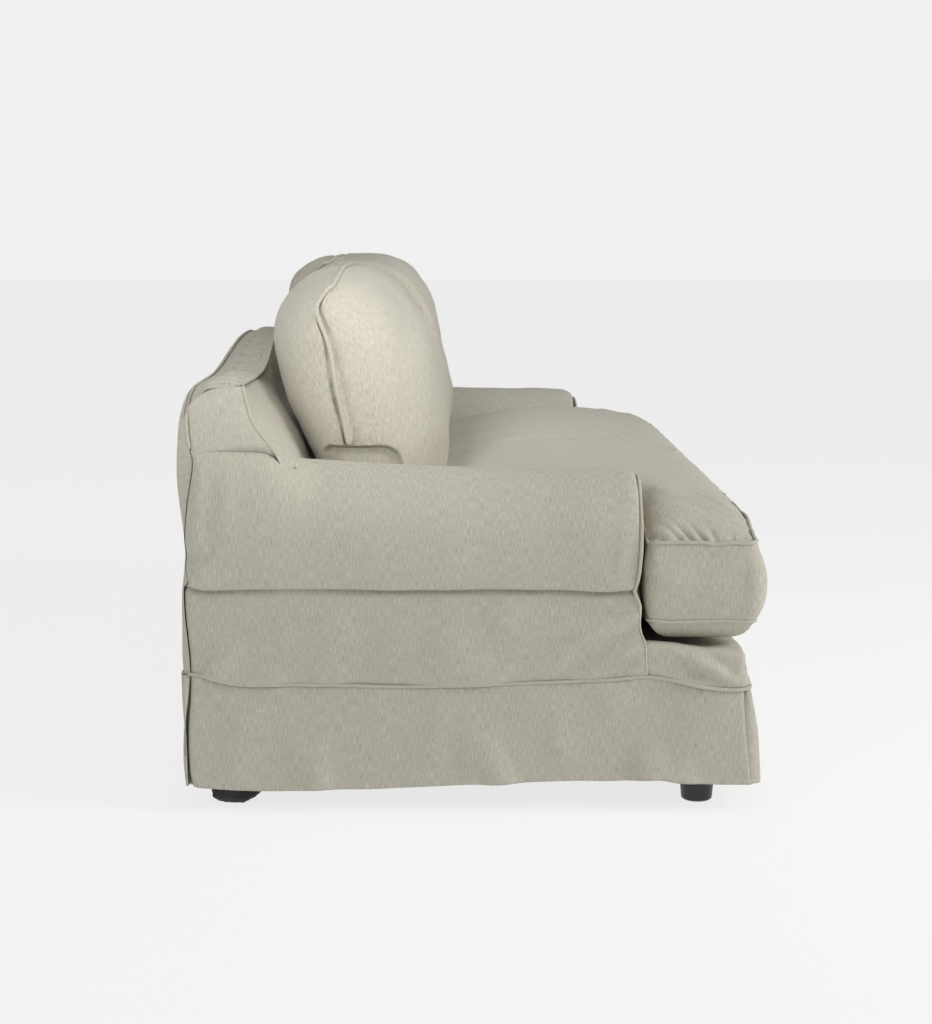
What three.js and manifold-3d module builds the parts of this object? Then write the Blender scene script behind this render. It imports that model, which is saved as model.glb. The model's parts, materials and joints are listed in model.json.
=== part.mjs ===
// Camelback sofa in a loose slipcover, with rolled arms and four loose cushions.
// Millimetres, +X across the sofa, +Y towards its back, +Z up.
// The origin is on the floor under the middle of the sofa.

import * as THREE from 'three';
import { mergeVertices } from 'three/addons/utils/BufferGeometryUtils.js';
import Module from 'manifold-3d';

const wasm = await Module();
wasm.setup();

// Overall sizes
const sofaWidth = 2100;
const sofaDepth = 1000;
const armWidth = 240;
const armSetback = 216;
const baseSetback = 38;
const rollOverhang = 15;

// Cloth, timber and the clearance that touching pieces keep
const cloth = 2.5;
const gap = 0.3;
const railThickness = 28;
const plywood = 25;

// Heights above the floor
const baseUnderside = 75;
const railHeight = 175;
const skirtTop = 228;
const hemAtFront = 58;
const hemAtRear = 42;
const backEndTop = 728;
const camelRise = 50;
const armCrestAtFront = 571;
const armRise = 36;
const rollSeamHeight = 386;

// The inside back leans back by this share of its height
const leanShare = 0.47;
const backTopThickness = 120;
const backPadDepth = 36;

const cushionBorderBottom = 335;
const cushionBorderTop = 467;
const backCushionTop = 940;

// Faces that several pieces share
const frontOfBase = baseSetback - sofaDepth / 2;
const frontOfArm = armSetback - sofaDepth / 2;
const rearFace = sofaDepth / 2;
const sideFace = sofaWidth / 2 - rollOverhang;
const armInnerX = sofaWidth / 2 - armWidth;
const railTop = baseUnderside + railHeight;
const railFrontY = frontOfBase + cloth + gap;
const railRearY = rearFace - cloth - gap;
const railOuterX = sideFace - cloth - gap;

// Materials
const linen = { color: 0xbdb9aa, roughness: 0.95, metalness: 0 };
const wadding = { color: 0xe8e4d8, roughness: 1, metalness: 0 };
const softwood = { color: 0xc9a676, roughness: 0.8, metalness: 0 };
const springSteel = { color: 0x8d8f92, roughness: 0.4, metalness: 1 };
const elasticWeb = { color: 0x6a6258, roughness: 0.9, metalness: 0 };
const blackCloth = { color: 0x1c1b1e, roughness: 0.9, metalness: 0 };
const darkFoot = { color: 0x211d24, roughness: 0.45, metalness: 0 };

const group = new THREE.Group();

// Adds a piece under its name, with a material of its own
function add(name, geometry, finish) {
  const mesh = new THREE.Mesh(geometry, new THREE.MeshStandardMaterial(finish));
  mesh.name = name;
  group.add(mesh);
  return mesh;
}

// The two hands of a paired piece, the right one on +X
const hands = [{ side: 'left', sign: -1 }, { side: 'right', sign: 1 }];

function mirrored(geometry) {
  const copy = geometry.clone();
  copy.scale(-1, 1, 1);
  const index = copy.index.array;
  for (let i = 0; i < index.length; i += 3) {
    [index[i], index[i + 1]] = [index[i + 1], index[i]];
  }
  return copy;
}

function addPair(name, geometry, finish) {
  const plain = merged(geometry);
  for (const { side, sign } of hands) {
    add(`${name}_${side}`, sign > 0 ? plain : mirrored(plain), finish);
  }
}

// Keeps only the positions and joins the vertices that meet
function merged(geometry) {
  const plain = geometry.clone();
  plain.deleteAttribute('normal');
  plain.deleteAttribute('uv');
  return mergeVertices(plain);
}

function toSolid(geometry) {
  const plain = merged(geometry);
  return new wasm.Manifold(new wasm.Mesh({
    numProp: 3,
    vertProperties: new Float32Array(plain.attributes.position.array),
    triVerts: new Uint32Array(plain.index.array),
  }));
}

function fromSolid(solid) {
  const mesh = solid.getMesh();
  const geometry = new THREE.BufferGeometry();
  geometry.setAttribute('position', new THREE.BufferAttribute(mesh.vertProperties, 3));
  geometry.setIndex(new THREE.BufferAttribute(mesh.triVerts, 1));
  return geometry;
}

function joined(geometries) {
  return fromSolid(geometries.map(toSolid).reduce((whole, next) => whole.add(next)));
}

function cutBy(geometry, tool) {
  return fromSolid(toSolid(geometry).subtract(toSolid(tool)));
}

const mix = (from, to, share) => from + (to - from) * share;
const clampShare = (share) => Math.min(1, Math.max(0, share));

// Rises from 0 to 1 with level ends
function ease(share) {
  const s = clampShare(share);
  return s * s * (3 - 2 * s);
}

function evenShares(count) {
  return Array.from({ length: count + 1 }, (_, i) => i / count);
}

// The triangles of an end cap, in the order of its ring. A fan spreads from a point at its
// middle, which is added to the positions. A ladder joins the two skins of a strip of cloth.
function capFaces(ring, start, cap, flatten, positions) {
  if (cap === 'fan') {
    const middle = [0, 1, 2].map((axis) => (
      ring.reduce((sum, point) => sum + point[axis], 0) / ring.length));
    positions.push(...middle);
    const centre = positions.length / 3 - 1;
    return ring.map((_, i) => [centre, start + i, start + ((i + 1) % ring.length)]);
  }
  if (cap === 'ladder') {
    const end = start + ring.length - 1;
    return ring.slice(1, ring.length / 2).flatMap((_, i) => [
      [start + i, start + i + 1, end - i - 1],
      [start + i, end - i - 1, end - i],
    ]);
  }
  const flat = ring.map((point) => new THREE.Vector2(...flatten(point)));
  const turned = THREE.ShapeUtils.area(flat) < 0;
  const faces = THREE.ShapeUtils.triangulateShape(turned ? flat.slice().reverse() : flat, []);
  return faces.map(([a, b, c]) => (turned
    ? [c, b, a].map((i) => start + ring.length - 1 - i)
    : [a, b, c].map((i) => start + i)));
}

// Closes a stack of rings of 3D points into a solid. The ends are capped, unless the
// last ring runs on into the first. A ring of cloth goes out along one skin and back along
// the other, and both skins are split into triangles the same way, so that they stay apart.
function loft(rings, { looped = false, cap = 'flat', flatten = ([x, , z]) => [x, z] } = {}) {
  const count = rings[0].length;
  const positions = rings.flat(2);
  const index = [];
  const bands = looped ? rings.length : rings.length - 1;
  for (let r = 0; r < bands; r += 1) {
    const low = r * count;
    const high = ((r + 1) % rings.length) * count;
    for (let i = 0; i < count; i += 1) {
      const next = (i + 1) % count;
      const [a, b, c, d] = [low + i, low + next, high + next, high + i];
      index.push(...(i < count / 2 ? [a, b, c, a, c, d] : [a, b, d, b, c, d]));
    }
  }
  if (!looped) {
    const lastStart = (rings.length - 1) * count;
    const first = capFaces(rings[0], 0, cap, flatten, positions);
    const last = capFaces(rings.at(-1), lastStart, cap, flatten, positions);
    index.push(...first.flatMap(([a, b, c]) => [a, c, b]), ...last.flat());
  }
  return outward(positions, index);
}

const clothEnds = { cap: 'ladder' };

// Turns the faces of a closed mesh outwards, going by the sign of its volume
function outward(positions, index) {
  const at = (i) => new THREE.Vector3(...positions.slice(3 * i, 3 * i + 3));
  let volume = 0;
  for (let i = 0; i < index.length; i += 3) {
    const [a, b, c] = [at(index[i]), at(index[i + 1]), at(index[i + 2])];
    volume += a.dot(b.cross(c));
  }
  const faces = index.slice();
  if (volume < 0) {
    for (let i = 0; i < faces.length; i += 3) {
      [faces[i], faces[i + 1]] = [faces[i + 1], faces[i]];
    }
  }
  const geometry = new THREE.BufferGeometry();
  geometry.setAttribute('position', new THREE.Float32BufferAttribute(positions, 3));
  geometry.setIndex(faces);
  return geometry;
}

// Moves a path sideways by a distance, to its right as it is walked
function offsetPath(path, distance) {
  return path.map(([a, b], i) => {
    const before = path[Math.max(0, i - 1)];
    const after = path[Math.min(path.length - 1, i + 1)];
    const into = new THREE.Vector2(a - before[0], b - before[1]).normalize();
    const out = new THREE.Vector2(after[0] - a, after[1] - b).normalize();
    const run = into.clone().add(out).normalize();
    const straight = i === 0 || i === path.length - 1;
    const mitre = straight ? 1 : 1 / Math.max(0.5, run.dot(into));
    return [a + run.y * distance * mitre, b - run.x * distance * mitre];
  });
}

// A strip of cloth seen end on: the path and the same path a thickness to its right
function strip(path, thickness) {
  return [...path, ...offsetPath(path, thickness).reverse()];
}

// A flat outline carried along an axis
const along = {
  x: new THREE.Matrix4().makeBasis(
    new THREE.Vector3(0, 1, 0), new THREE.Vector3(0, 0, 1), new THREE.Vector3(1, 0, 0)),
  y: new THREE.Matrix4().makeBasis(
    new THREE.Vector3(1, 0, 0), new THREE.Vector3(0, 0, 1), new THREE.Vector3(0, -1, 0)),
  z: new THREE.Matrix4(),
};

function extrude(outline, axis, from, to, holes = []) {
  const shape = new THREE.Shape(outline.map(([a, b]) => new THREE.Vector2(a, b)));
  shape.holes = holes;
  const geometry = new THREE.ExtrudeGeometry(shape, { depth: to - from, bevelEnabled: false });
  geometry.applyMatrix4(along[axis]);
  const start = new THREE.Vector3().setComponent('xyz'.indexOf(axis), axis === 'y' ? to : from);
  geometry.translate(start.x, start.y, start.z);
  return geometry;
}

function block([x0, x1], [y0, y1], [z0, z1]) {
  return extrude([[x0, y0], [x1, y0], [x1, y1], [x0, y1]], 'z', z0, z1);
}

// A closed outline with rounded corners, and its long runs divided
function roundedOutline(corners, steps, longestRun) {
  const outline = [];
  corners.forEach(({ at, radius }, i) => {
    const corner = new THREE.Vector2(...at);
    const before = new THREE.Vector2(...corners.at(i - 1).at);
    const after = new THREE.Vector2(...corners[(i + 1) % corners.length].at);
    const start = before.sub(corner).setLength(radius).add(corner);
    const end = after.sub(corner).setLength(radius).add(corner);
    const bend = new THREE.QuadraticBezierCurve(start, corner, end);
    outline.push(...bend.getPoints(steps));
  });
  return outline.flatMap((point, i) => {
    const next = outline[(i + 1) % outline.length];
    const parts = Math.ceil(point.distanceTo(next) / longestRun);
    return evenShares(parts).slice(0, -1).map((share) => point.clone().lerp(next, share).toArray());
  });
}

// The front of the inside back at a height, and the faces behind it
const insideTopY = rearFace - backTopThickness;
const webThickness = 2;
const insideBackY = (z) => insideTopY + leanShare * (z - backEndTop);
const padRearY = (z) => insideBackY(z) + backPadDepth;
const uprightFrontY = (z) => padRearY(z) + webThickness + 2 * gap;

// The camel line: a smooth hump in the middle and level towards the ends. At the rear its
// ends are rounded over, and the front edge of the top stands a little over the rear one.
const humpHalfWidthShare = 0.7;
const endRounding = 140;
const endDrop = 42;
const frontEdgeStand = 11;
const backHalfWidth = sideFace - rollOverhang / 3;

function humpCurve(x) {
  const humpShare = Math.min(1, x / (backHalfWidth * humpHalfWidthShare));
  return backEndTop + camelRise * (0.5 + 0.5 * Math.cos(Math.PI * humpShare));
}

function rearCurve(x) {
  const intoEnd = clampShare((x - backHalfWidth + endRounding) / endRounding);
  return humpCurve(x) - endDrop * intoEnd ** 2;
}

// Places across one half of the back where every piece that follows the camel line bends
const humpStations = 8;
const endRoundingShares = [0, 0.3, 0.55, 0.8, 1];
const camelStations = [
  ...evenShares(humpStations).map((share) => backHalfWidth * humpHalfWidthShare * share),
  ...endRoundingShares.map((share) => backHalfWidth - endRounding + endRounding * share),
];

function betweenStations(curve, x) {
  const far = Math.max(1, camelStations.findIndex((station) => station >= Math.abs(x)));
  const [from, to] = camelStations.slice(far - 1, far + 1);
  return mix(curve(from), curve(to), (Math.abs(x) - from) / (to - from));
}

const rearTop = (x) => betweenStations(rearCurve, x);
const frontTop = (x) => betweenStations(humpCurve, x) + frontEdgeStand;

// The same places on both halves as far as a piece's end, with more places of its own
function backStations(end, more = []) {
  const half = [...camelStations, ...more].filter((x) => x > 0 && x < end);
  const right = [0, ...half.sort((a, b) => a - b), end];
  return [...right.slice(1).reverse().map((x) => -x), ...right];
}

// Base frame
const sideRailInnerX = railOuterX - railThickness;
const innerRailX = [armInnerX + cloth, armInnerX + cloth + railThickness];
const frontRailInnerY = railFrontY + railThickness;
const rearRailInnerY = railRearY - railThickness;
const rearSeatRailY = uprightFrontY(railTop);
const stretcherHeight = 115;
const railZ = [baseUnderside, railTop];

function baseFrame() {
  const betweenSides = sideRailInnerX - gap;
  add('front_rail', block([-betweenSides, betweenSides], [railFrontY, frontRailInnerY], railZ), softwood);
  add('rear_rail', block([-betweenSides, betweenSides], [rearRailInnerY, railRearY], railZ), softwood);
  addPair('side_rail', block([sideRailInnerX, railOuterX], [railFrontY, railRearY], railZ), softwood);
  const lengthwise = [frontRailInnerY + gap, rearRailInnerY - gap];
  addPair('inner_side_rail', block(innerRailX, lengthwise, railZ), softwood);
  const betweenInner = innerRailX[0] - gap;
  add('rear_seat_rail', block([-betweenInner, betweenInner],
    [rearSeatRailY, rearSeatRailY + railThickness], railZ), softwood);
  add('centre_stretcher', block([-railThickness / 2, railThickness / 2],
    [frontRailInnerY + gap, rearSeatRailY - gap],
    [baseUnderside, baseUnderside + stretcherHeight]), softwood);
}

// Feet, each under a block glued into its corner
const footTopRadius = 34;
const footFloorRadius = 27;
const footSideInset = 82;
const frontFootInset = 73;
const rearFootInset = 71;
const footSides = 24;
const footTop = baseUnderside - gap;
const footChamfer = 3;
const cornerBlockHeight = 70;
const cornerBlockSize = 92;
const cornerBlockBevel = 46;
const footX = sofaWidth / 2 - footSideInset;
const footY = { front: frontOfBase + frontFootInset, rear: rearFace - rearFootInset };

function footRadius(z) {
  return mix(footFloorRadius, footTopRadius, z / footTop);
}

function turnedFoot(y) {
  const profile = [
    [0, 0],
    [footFloorRadius - footChamfer, 0],
    [footRadius(footChamfer), footChamfer],
    [footTopRadius, footTop],
    [0, footTop],
  ].map(([r, z]) => new THREE.Vector2(r, z));
  const geometry = new THREE.LatheGeometry(profile, footSides);
  geometry.rotateX(Math.PI / 2);
  geometry.translate(footX, y, 0);
  return geometry;
}

function cornerBlock(railY, towards) {
  const outerX = sideRailInnerX - gap;
  const innerX = outerX - cornerBlockSize;
  const nearY = railY + towards * gap;
  const farY = nearY + towards * cornerBlockSize;
  return extrude([
    [outerX, nearY],
    [outerX, farY],
    [innerX + cornerBlockBevel, farY],
    [innerX, farY - towards * cornerBlockBevel],
    [innerX, nearY],
  ], 'z', baseUnderside, baseUnderside + cornerBlockHeight);
}

// Crumpled cloth tied round a rear foot: a sleeve with soft folds
const wrapFolds = 7;
const wrapFoldTurn = 2;
const wrapLevels = 4;
const wrapFoldDepth = 8;
const wrapFlare = 6;
const wrapBottom = 1;
const dustClothThickness = 1.5;
const wrapTop = footTop - dustClothThickness - 2 * gap;

function footWrap(y) {
  const levels = evenShares(wrapLevels);
  const around = evenShares(footSides).slice(0, -1);
  const ringAt = (levelShare, outside) => around.map((turn) => {
    const z = mix(wrapBottom, wrapTop, levelShare);
    const angle = turn * 2 * Math.PI;
    const folds = 0.5 + 0.5 * Math.sin(wrapFolds * angle + wrapFoldTurn * levelShare);
    const slack = wrapFoldDepth * folds + wrapFlare * levelShare;
    const radius = footRadius(z) + 2 * gap + slack + outside;
    return [footX + radius * Math.sin(angle), y + radius * Math.cos(angle), z];
  });
  return loft([
    ...levels.map((share) => ringAt(share, cloth)),
    ...levels.slice().reverse().map((share) => ringAt(share, 0)),
  ], { looped: true });
}

function feetAndBlocks() {
  addPair('front_foot', turnedFoot(footY.front), darkFoot);
  addPair('rear_foot', turnedFoot(footY.rear), darkFoot);
  addPair('rear_foot_wrap', footWrap(footY.rear), blackCloth);
  addPair('front_corner_block', cornerBlock(frontRailInnerY, 1), softwood);
  addPair('rear_corner_block', cornerBlock(rearRailInnerY, -1), softwood);
}

// Black cloth under the base, with a hole for each foot
const dustClothMargin = 12;
const footHoleClearance = 2;

function dustCover() {
  const x = railOuterX - dustClothMargin;
  const [y0, y1] = [railFrontY + dustClothMargin, railRearY - dustClothMargin];
  const holes = [-footX, footX].flatMap((cx) => [footY.front, footY.rear].map((cy) => {
    const hole = new THREE.Path();
    hole.absarc(cx, cy, footTopRadius + footHoleClearance, 0, 2 * Math.PI, true);
    return hole;
  }));
  const top = baseUnderside - gap;
  add('dust_cover', extrude([[-x, y0], [x, y0], [x, y1], [-x, y1]], 'z',
    top - dustClothThickness, top, holes), blackCloth);
}

// Plywood uprights of the back, raked in front and notched for the top rail
const topRailDrop = 88;
const uprightTopDrop = 57;
const topRailBottom = backEndTop - topRailDrop;
const uprightTop = backEndTop - uprightTopDrop;
const outerUprightInset = 32;
const topRailFrontY = railRearY - railThickness;

function upright(x0) {
  const foot = railTop + gap;
  return extrude([
    [uprightFrontY(foot), foot],
    [railRearY, foot],
    [railRearY, topRailBottom - gap],
    [topRailFrontY - gap, topRailBottom - gap],
    [topRailFrontY - gap, uprightTop],
    [uprightFrontY(uprightTop), uprightTop],
  ], 'x', x0, x0 + plywood);
}

const innerUprightX = [innerRailX[1] - plywood, innerRailX[1]];
const outerUprightX = [backHalfWidth - outerUprightInset - plywood, backHalfWidth - outerUprightInset];

function backFrame() {
  addPair('inner_back_upright', upright(innerUprightX[0]), softwood);
  addPair('outer_back_upright', upright(outerUprightX[0]), softwood);
  add('centre_back_upright', upright(-plywood / 2), softwood);
  const underCloth = cloth + gap;
  const topX = backHalfWidth - outerUprightInset;
  const camelLine = backStations(topX).reverse().map((x) => [x, rearTop(x) - underCloth]);
  add('back_top_rail', extrude([[-topX, topRailBottom], [topX, topRailBottom], ...camelLine],
    'y', topRailFrontY, railRearY), softwood);
}

// Elastic webbing across the raked edges of the uprights
const webWidth = 55;
const webCount = 4;
const lowestWeb = 330;
const webPitch = 95;

function backWebbing() {
  const x = innerUprightX[1];
  for (let i = 0; i < webCount; i += 1) {
    const [z0, z1] = [lowestWeb + i * webPitch, lowestWeb + i * webPitch + webWidth];
    const front = (z) => padRearY(z) + gap;
    add(`back_webbing_${i + 1}`, extrude([
      [front(z0), z0],
      [front(z0) + webThickness, z0],
      [front(z1) + webThickness, z1],
      [front(z1), z1],
    ], 'x', -x, x), elasticWeb);
  }
}

// Seat springs: sinuous wires from the front rail to the rear seat rail, tied together
const springWire = 4;
const springAmplitude = 28;
const springHalfWaves = 13;
const stepsPerHalfWave = 3;
const springsPerSeat = 5;
const tieShares = [0.34, 0.7];
const springRest = railTop + gap;
const tieLap = 1;

function sinuousSpring(x) {
  const [y0, y1] = [railFrontY + railThickness / 2, rearSeatRailY + railThickness / 2];
  const steps = springHalfWaves * stepsPerHalfWave;
  const path = evenShares(steps).map((share) => [
    x + springAmplitude * Math.sin(share * springHalfWaves * Math.PI),
    mix(y0, y1, share),
  ]);
  const [left, right] = [offsetPath(path, -springWire / 2), offsetPath(path, springWire / 2)];
  const rings = path.map((_, i) => [
    [...left[i], springRest],
    [...right[i], springRest],
    [...right[i], springRest + springWire],
    [...left[i], springRest + springWire],
  ]);
  return loft(rings);
}

function springSet() {
  const inner = railThickness / 2;
  const outer = innerRailX[0] - springWire;
  const pitch = (outer - inner) / springsPerSeat;
  const centres = evenShares(springsPerSeat).slice(0, -1).map((_, i) => inner + (i + 0.5) * pitch);
  const springs = centres.map(sinuousSpring);
  const tieZ = springRest + springWire - tieLap;
  const ties = tieShares.map((share) => {
    const y = mix(railFrontY, rearSeatRailY, share);
    return block([centres[0] - springAmplitude, centres.at(-1) + springAmplitude],
      [y, y + springWire], [tieZ, tieZ + springWire]);
  });
  return joined([...springs, ...ties]);
}

// Seat deck: a padded platform that widens in front of the arms
const deckBottom = springRest + 2 * springWire - tieLap + gap;
const deckThickness = 19;
const deckTop = deckBottom + deckThickness;
const borderLip = 22;

function seatDeck() {
  addPair('seat_spring_set', springSet(), springSteel);
  const narrow = armInnerX - gap;
  const rear = uprightFrontY(deckBottom) - gap;
  const shoulder = frontOfArm - gap;
  const outline = [
    [-railOuterX, railFrontY],
    [railOuterX, railFrontY],
    [railOuterX, shoulder],
    [narrow, shoulder],
    [narrow, rear],
    [-narrow, rear],
    [-narrow, shoulder],
    [-railOuterX, shoulder],
  ];
  add('seat_deck_pad', extrude(outline, 'z', deckBottom, deckTop), wadding);
  const border = strip([
    [frontOfBase + borderLip, deckTop + gap],
    [frontOfBase + cloth, deckTop + gap],
    [frontOfBase + cloth, skirtTop + gap],
  ], cloth);
  add('front_border', extrude(border, 'x', -sideFace, sideFace), linen);
}

// Back padding: a raked slab that turns over the top of the uprights
const backEdgeRadius = 26;
const backEdgeSteps = 3;
const wingBottom = 628;

// From the bottom up the raked face and over the rounded top edge, at one place across
function insideBackPath(x, inset) {
  const bottom = Math.abs(x) < armInnerX ? deckTop + gap : wingBottom;
  const top = frontTop(x) - inset;
  const face = (z) => insideBackY(z) + inset;
  const turnStart = top - backEdgeRadius;
  const turn = evenShares(backEdgeSteps).slice(1).map((share) => {
    const angle = share * (Math.PI / 2);
    return [
      face(turnStart) + backEdgeRadius * (1 - Math.cos(angle)),
      turnStart + backEdgeRadius * Math.sin(angle),
    ];
  });
  return [[face(bottom), bottom], [face(turnStart), turnStart], ...turn];
}

// The top of the back falls from the top of its front edge to the camel line at the rear
const bandStart = (x) => insideBackPath(x, cloth).at(-1)[0] + gap + cloth / 2;
const underBand = cloth + 3 * gap;
const padSlack = 3;

function bandHeight(x, y) {
  return mix(frontTop(x), rearTop(x), (y - bandStart(x)) / (railRearY - bandStart(x)));
}

function backUpholstery() {
  const inset = cloth + gap;
  const padEnd = backHalfWidth - inset;
  const armEdges = [armInnerX - gap, armInnerX];
  const padRings = backStations(padEnd, armEdges).map((x) => {
    const front = insideBackPath(x, inset);
    const rearY = topRailFrontY - gap;
    const shelf = uprightTop + gap;
    const [bottomY, bottom] = front[0];
    const ring = [
      ...front,
      [rearY, bandHeight(x, rearY) - underBand - padSlack],
      [rearY, shelf],
      [padRearY(shelf), shelf],
      [bottomY + padRearY(bottom) - insideBackY(bottom) - inset, bottom],
    ];
    return ring.map(([y, z]) => [x, y, z]);
  });
  add('back_pad', loft(padRings, { flatten: ([, y, z]) => [y, z] }), wadding);
  const coverRings = backStations(backHalfWidth, armEdges).map((x) => (
    [...insideBackPath(x, 0), ...insideBackPath(x, cloth).reverse()].map(([y, z]) => [x, y, z])));
  add('inside_back_cover', loft(coverRings, clothEnds), linen);
  const bandRings = backStations(backHalfWidth).map((x) => {
    const path = [[bandStart(x), frontTop(x)], [railRearY, rearTop(x)]];
    return strip(path, cloth).map(([y, z]) => [x, y, z]);
  });
  add('back_top_band', loft(bandRings, clothEnds), linen);
}

// Sides of the back above the arms
function backSidePanel() {
  const x1 = backHalfWidth - cloth - gap;
  const front = (z) => insideBackY(z) + cloth + gap + backEdgeRadius / 2;
  const frontY = Math.max(front(frontTop(backHalfWidth)), bandStart(backHalfWidth));
  return extrude([
    [front(wingBottom), wingBottom],
    [railRearY, wingBottom],
    [railRearY, rearTop(backHalfWidth) - underBand],
    [frontY, bandHeight(backHalfWidth, frontY) - underBand],
  ], 'x', x1 + gap, x1 + gap + cloth);
}

// The outer back hangs straight from the camel line to the skirt
function outerBackPanel() {
  const line = backStations(backHalfWidth).reverse().map((x) => [x, rearTop(x)]);
  const bottom = skirtTop + gap;
  add('outer_back_panel', extrude([[-sideFace, bottom], [sideFace, bottom],
    [sideFace, rollSeamHeight], ...line, [-sideFace, rollSeamHeight]],
  'y', rearFace - cloth, rearFace), linen);
}

// Rolled arm in section: up the inner face, over the roll and down to the seam below it
const rollHeight = 115;
const rollSteps = 12;
const tuckSteps = 3;
const crestShare = 0.5;
const seamShare = 0.72;
const armLength = railRearY - frontOfArm;
const tuckDepth = rollOverhang;

// The scroll-shaped board behind the cloth at the front of an arm, and the padding behind it
const armBoardThickness = 22;
const armBoardDepth = 75;
const frontBoardSetback = 14;
const frontBoardInset = 12;
const armFrontBoard = [
  frontOfArm + frontBoardSetback,
  frontOfArm + frontBoardSetback + armBoardThickness,
];
const armPadFront = armFrontBoard[1] + gap;

// The crest rounds up from the front edge as far as the padding, and climbs towards the back
const frontRounding = 12;

function armCrest(y) {
  const behindFront = y - frontOfArm;
  const rounding = frontRounding * ease(behindFront / (armPadFront - frontOfArm));
  return armCrestAtFront + rounding + armRise * (behindFront / armLength) ** 2;
}

// Beside the back, the roll's outer half is drawn up to the seam under the back's end
const rearRise = 44;
const rearShift = 18;
const riseLead = 26;
const riseLength = 80;
const riseStart = insideBackY(armCrestAtFront) - riseLead;

function armSection(y, bottom, rise = 0) {
  const middle = armInnerX + armWidth / 2;
  const shoulder = armCrest(y) - rollHeight;
  const roll = evenShares(rollSteps).map((share) => {
    const angle = share * Math.PI;
    const beforeSeam = ease((share - crestShare) / (seamShare - crestShare));
    const lift = rise * beforeSeam * ease((1 - share) / (1 - seamShare));
    const x = middle - (armWidth / 2) * Math.cos(angle) + rearShift * lift;
    return [Math.min(x, sofaWidth / 2), shoulder + rollHeight * Math.sin(angle) + rearRise * lift];
  });
  const tuck = evenShares(tuckSteps).slice(1).map((share) => {
    const angle = share * (Math.PI / 2);
    return [
      sideFace + tuckDepth * Math.cos(angle),
      shoulder - (shoulder - rollSeamHeight) * Math.sin(angle),
    ];
  });
  return [[armInnerX, bottom], ...roll, ...tuck];
}

const armBoardTop = (y) => armCrestAtFront - armBoardDepth + armRise * ((y - frontOfArm) / armLength);
const notchX = [innerUprightX[1] + gap, outerUprightX[0] - gap];
const armStations = 8;

// Rings across the arm: at the places that lead in, and evenly from the last of them to the
// end that each point runs back to
function armRings(ringAt, leadIn, endAt) {
  const front = leadIn.at(-1);
  const leading = leadIn.slice(0, -1).map((y) => ringAt(y).map(([x, z]) => [x, y, z]));
  const atFront = ringAt(front);
  const running = evenShares(armStations).map((share) => atFront.map((point, i) => {
    const y = mix(front, endAt(point, i), share);
    const [x, z] = ringAt(y)[i];
    return [x, y, z];
  }));
  return [...leading, ...running];
}

function armCover() {
  const bottom = railTop + gap;
  const ringAt = (y) => strip(armSection(y, bottom, ease((y - riseStart) / riseLength)), cloth);
  const points = ringAt(frontOfArm).length;
  const seamPoint = 1 + Math.round(rollSteps * seamShare);
  const endAt = ([, z], i) => {
    const place = Math.min(i, points - 1 - i);
    return place >= seamPoint ? railRearY : insideBackY(z) - gap;
  };
  const leadIn = [frontOfArm, (frontOfArm + armPadFront) / 2, armPadFront];
  return loft(armRings(ringAt, leadIn, endAt), clothEnds);
}

function armPad() {
  const bottom = railTop + gap;
  const ringAt = (y) => [
    ...offsetPath(armSection(y, bottom), cloth + gap),
    [notchX[1] + gap, rollSeamHeight],
    [notchX[1] + gap, armBoardTop(y) + gap],
    [notchX[0] - gap, armBoardTop(y) + gap],
    [notchX[0] - gap, bottom],
  ];
  return loft(armRings(ringAt, [armPadFront], ([, z]) => uprightFrontY(z) - gap));
}

// The outline of the front board, and of the cloth that faces it
function armFrontOutline(bottom, inset) {
  const section = offsetPath(armSection(frontOfArm, bottom), inset).slice(0, -1);
  const outerX = sideFace - inset;
  return [...section, [outerX, rollSeamHeight + inset], [outerX, bottom]];
}

function arms() {
  const bottom = railTop + gap;
  const board = extrude(armFrontOutline(bottom, frontBoardInset), 'y', ...armFrontBoard);
  addPair('arm_front_board', board, softwood);
  const facing = armFrontOutline(deckTop + gap, cloth + gap);
  addPair('arm_front_panel', extrude(facing, 'y', frontOfArm, frontOfArm + cloth), linen);
  const [boardFront, boardRear] = [armPadFront, topRailFrontY - gap];
  addPair('arm_board', extrude([
    [boardFront, armBoardTop(boardFront) - armBoardThickness],
    [boardRear, armBoardTop(boardRear) - armBoardThickness],
    [boardRear, armBoardTop(boardRear)],
    [boardFront, armBoardTop(boardFront)],
  ], 'x', notchX[0], notchX[1]), softwood);
  addPair('arm_pad', armPad(), wadding);
  addPair('arm_cover', armCover(), linen);
}

// Side of the slipcover between the roll and the skirt, lower in front of the arm
function sidePanel() {
  return extrude([
    [railFrontY, skirtTop + gap],
    [railRearY, skirtTop + gap],
    [railRearY, rollSeamHeight - gap],
    [frontOfArm, rollSeamHeight - gap],
    [frontOfArm, deckTop],
    [railFrontY, deckTop],
  ], 'x', sideFace - cloth, sideFace);
}

// Skirt: four panels that hang from the base and flare to the hem in soft waves
const skirtFlare = 12;
const skirtWaveDepth = 4;
const skirtWaves = 7;
const skirtTuck = 6;
const skirtRows = 3;
const skirtColumns = 21;

const hemHeight = (y) => mix(hemAtFront, hemAtRear, (y - frontOfBase) / (rearFace - frontOfBase));

// A skirt panel between two places along its run. It stands off by standAt(drop, wave) at
// each share of its drop, and place() turns run, stand-off and height into a point.
function skirtPanel(run, drops, standAt, hemAt, place) {
  const rings = evenShares(skirtColumns).map((share) => {
    const at = mix(run[0], run[1], share);
    const wave = 0.5 - 0.5 * Math.cos(2 * Math.PI * skirtWaves * share);
    const path = drops.map((drop) => [standAt(drop, wave), mix(skirtTop, hemAt(at), drop)]);
    return strip(path, cloth).map(([stand, z]) => place(at, stand, z));
  });
  return loft(rings, clothEnds);
}

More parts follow.
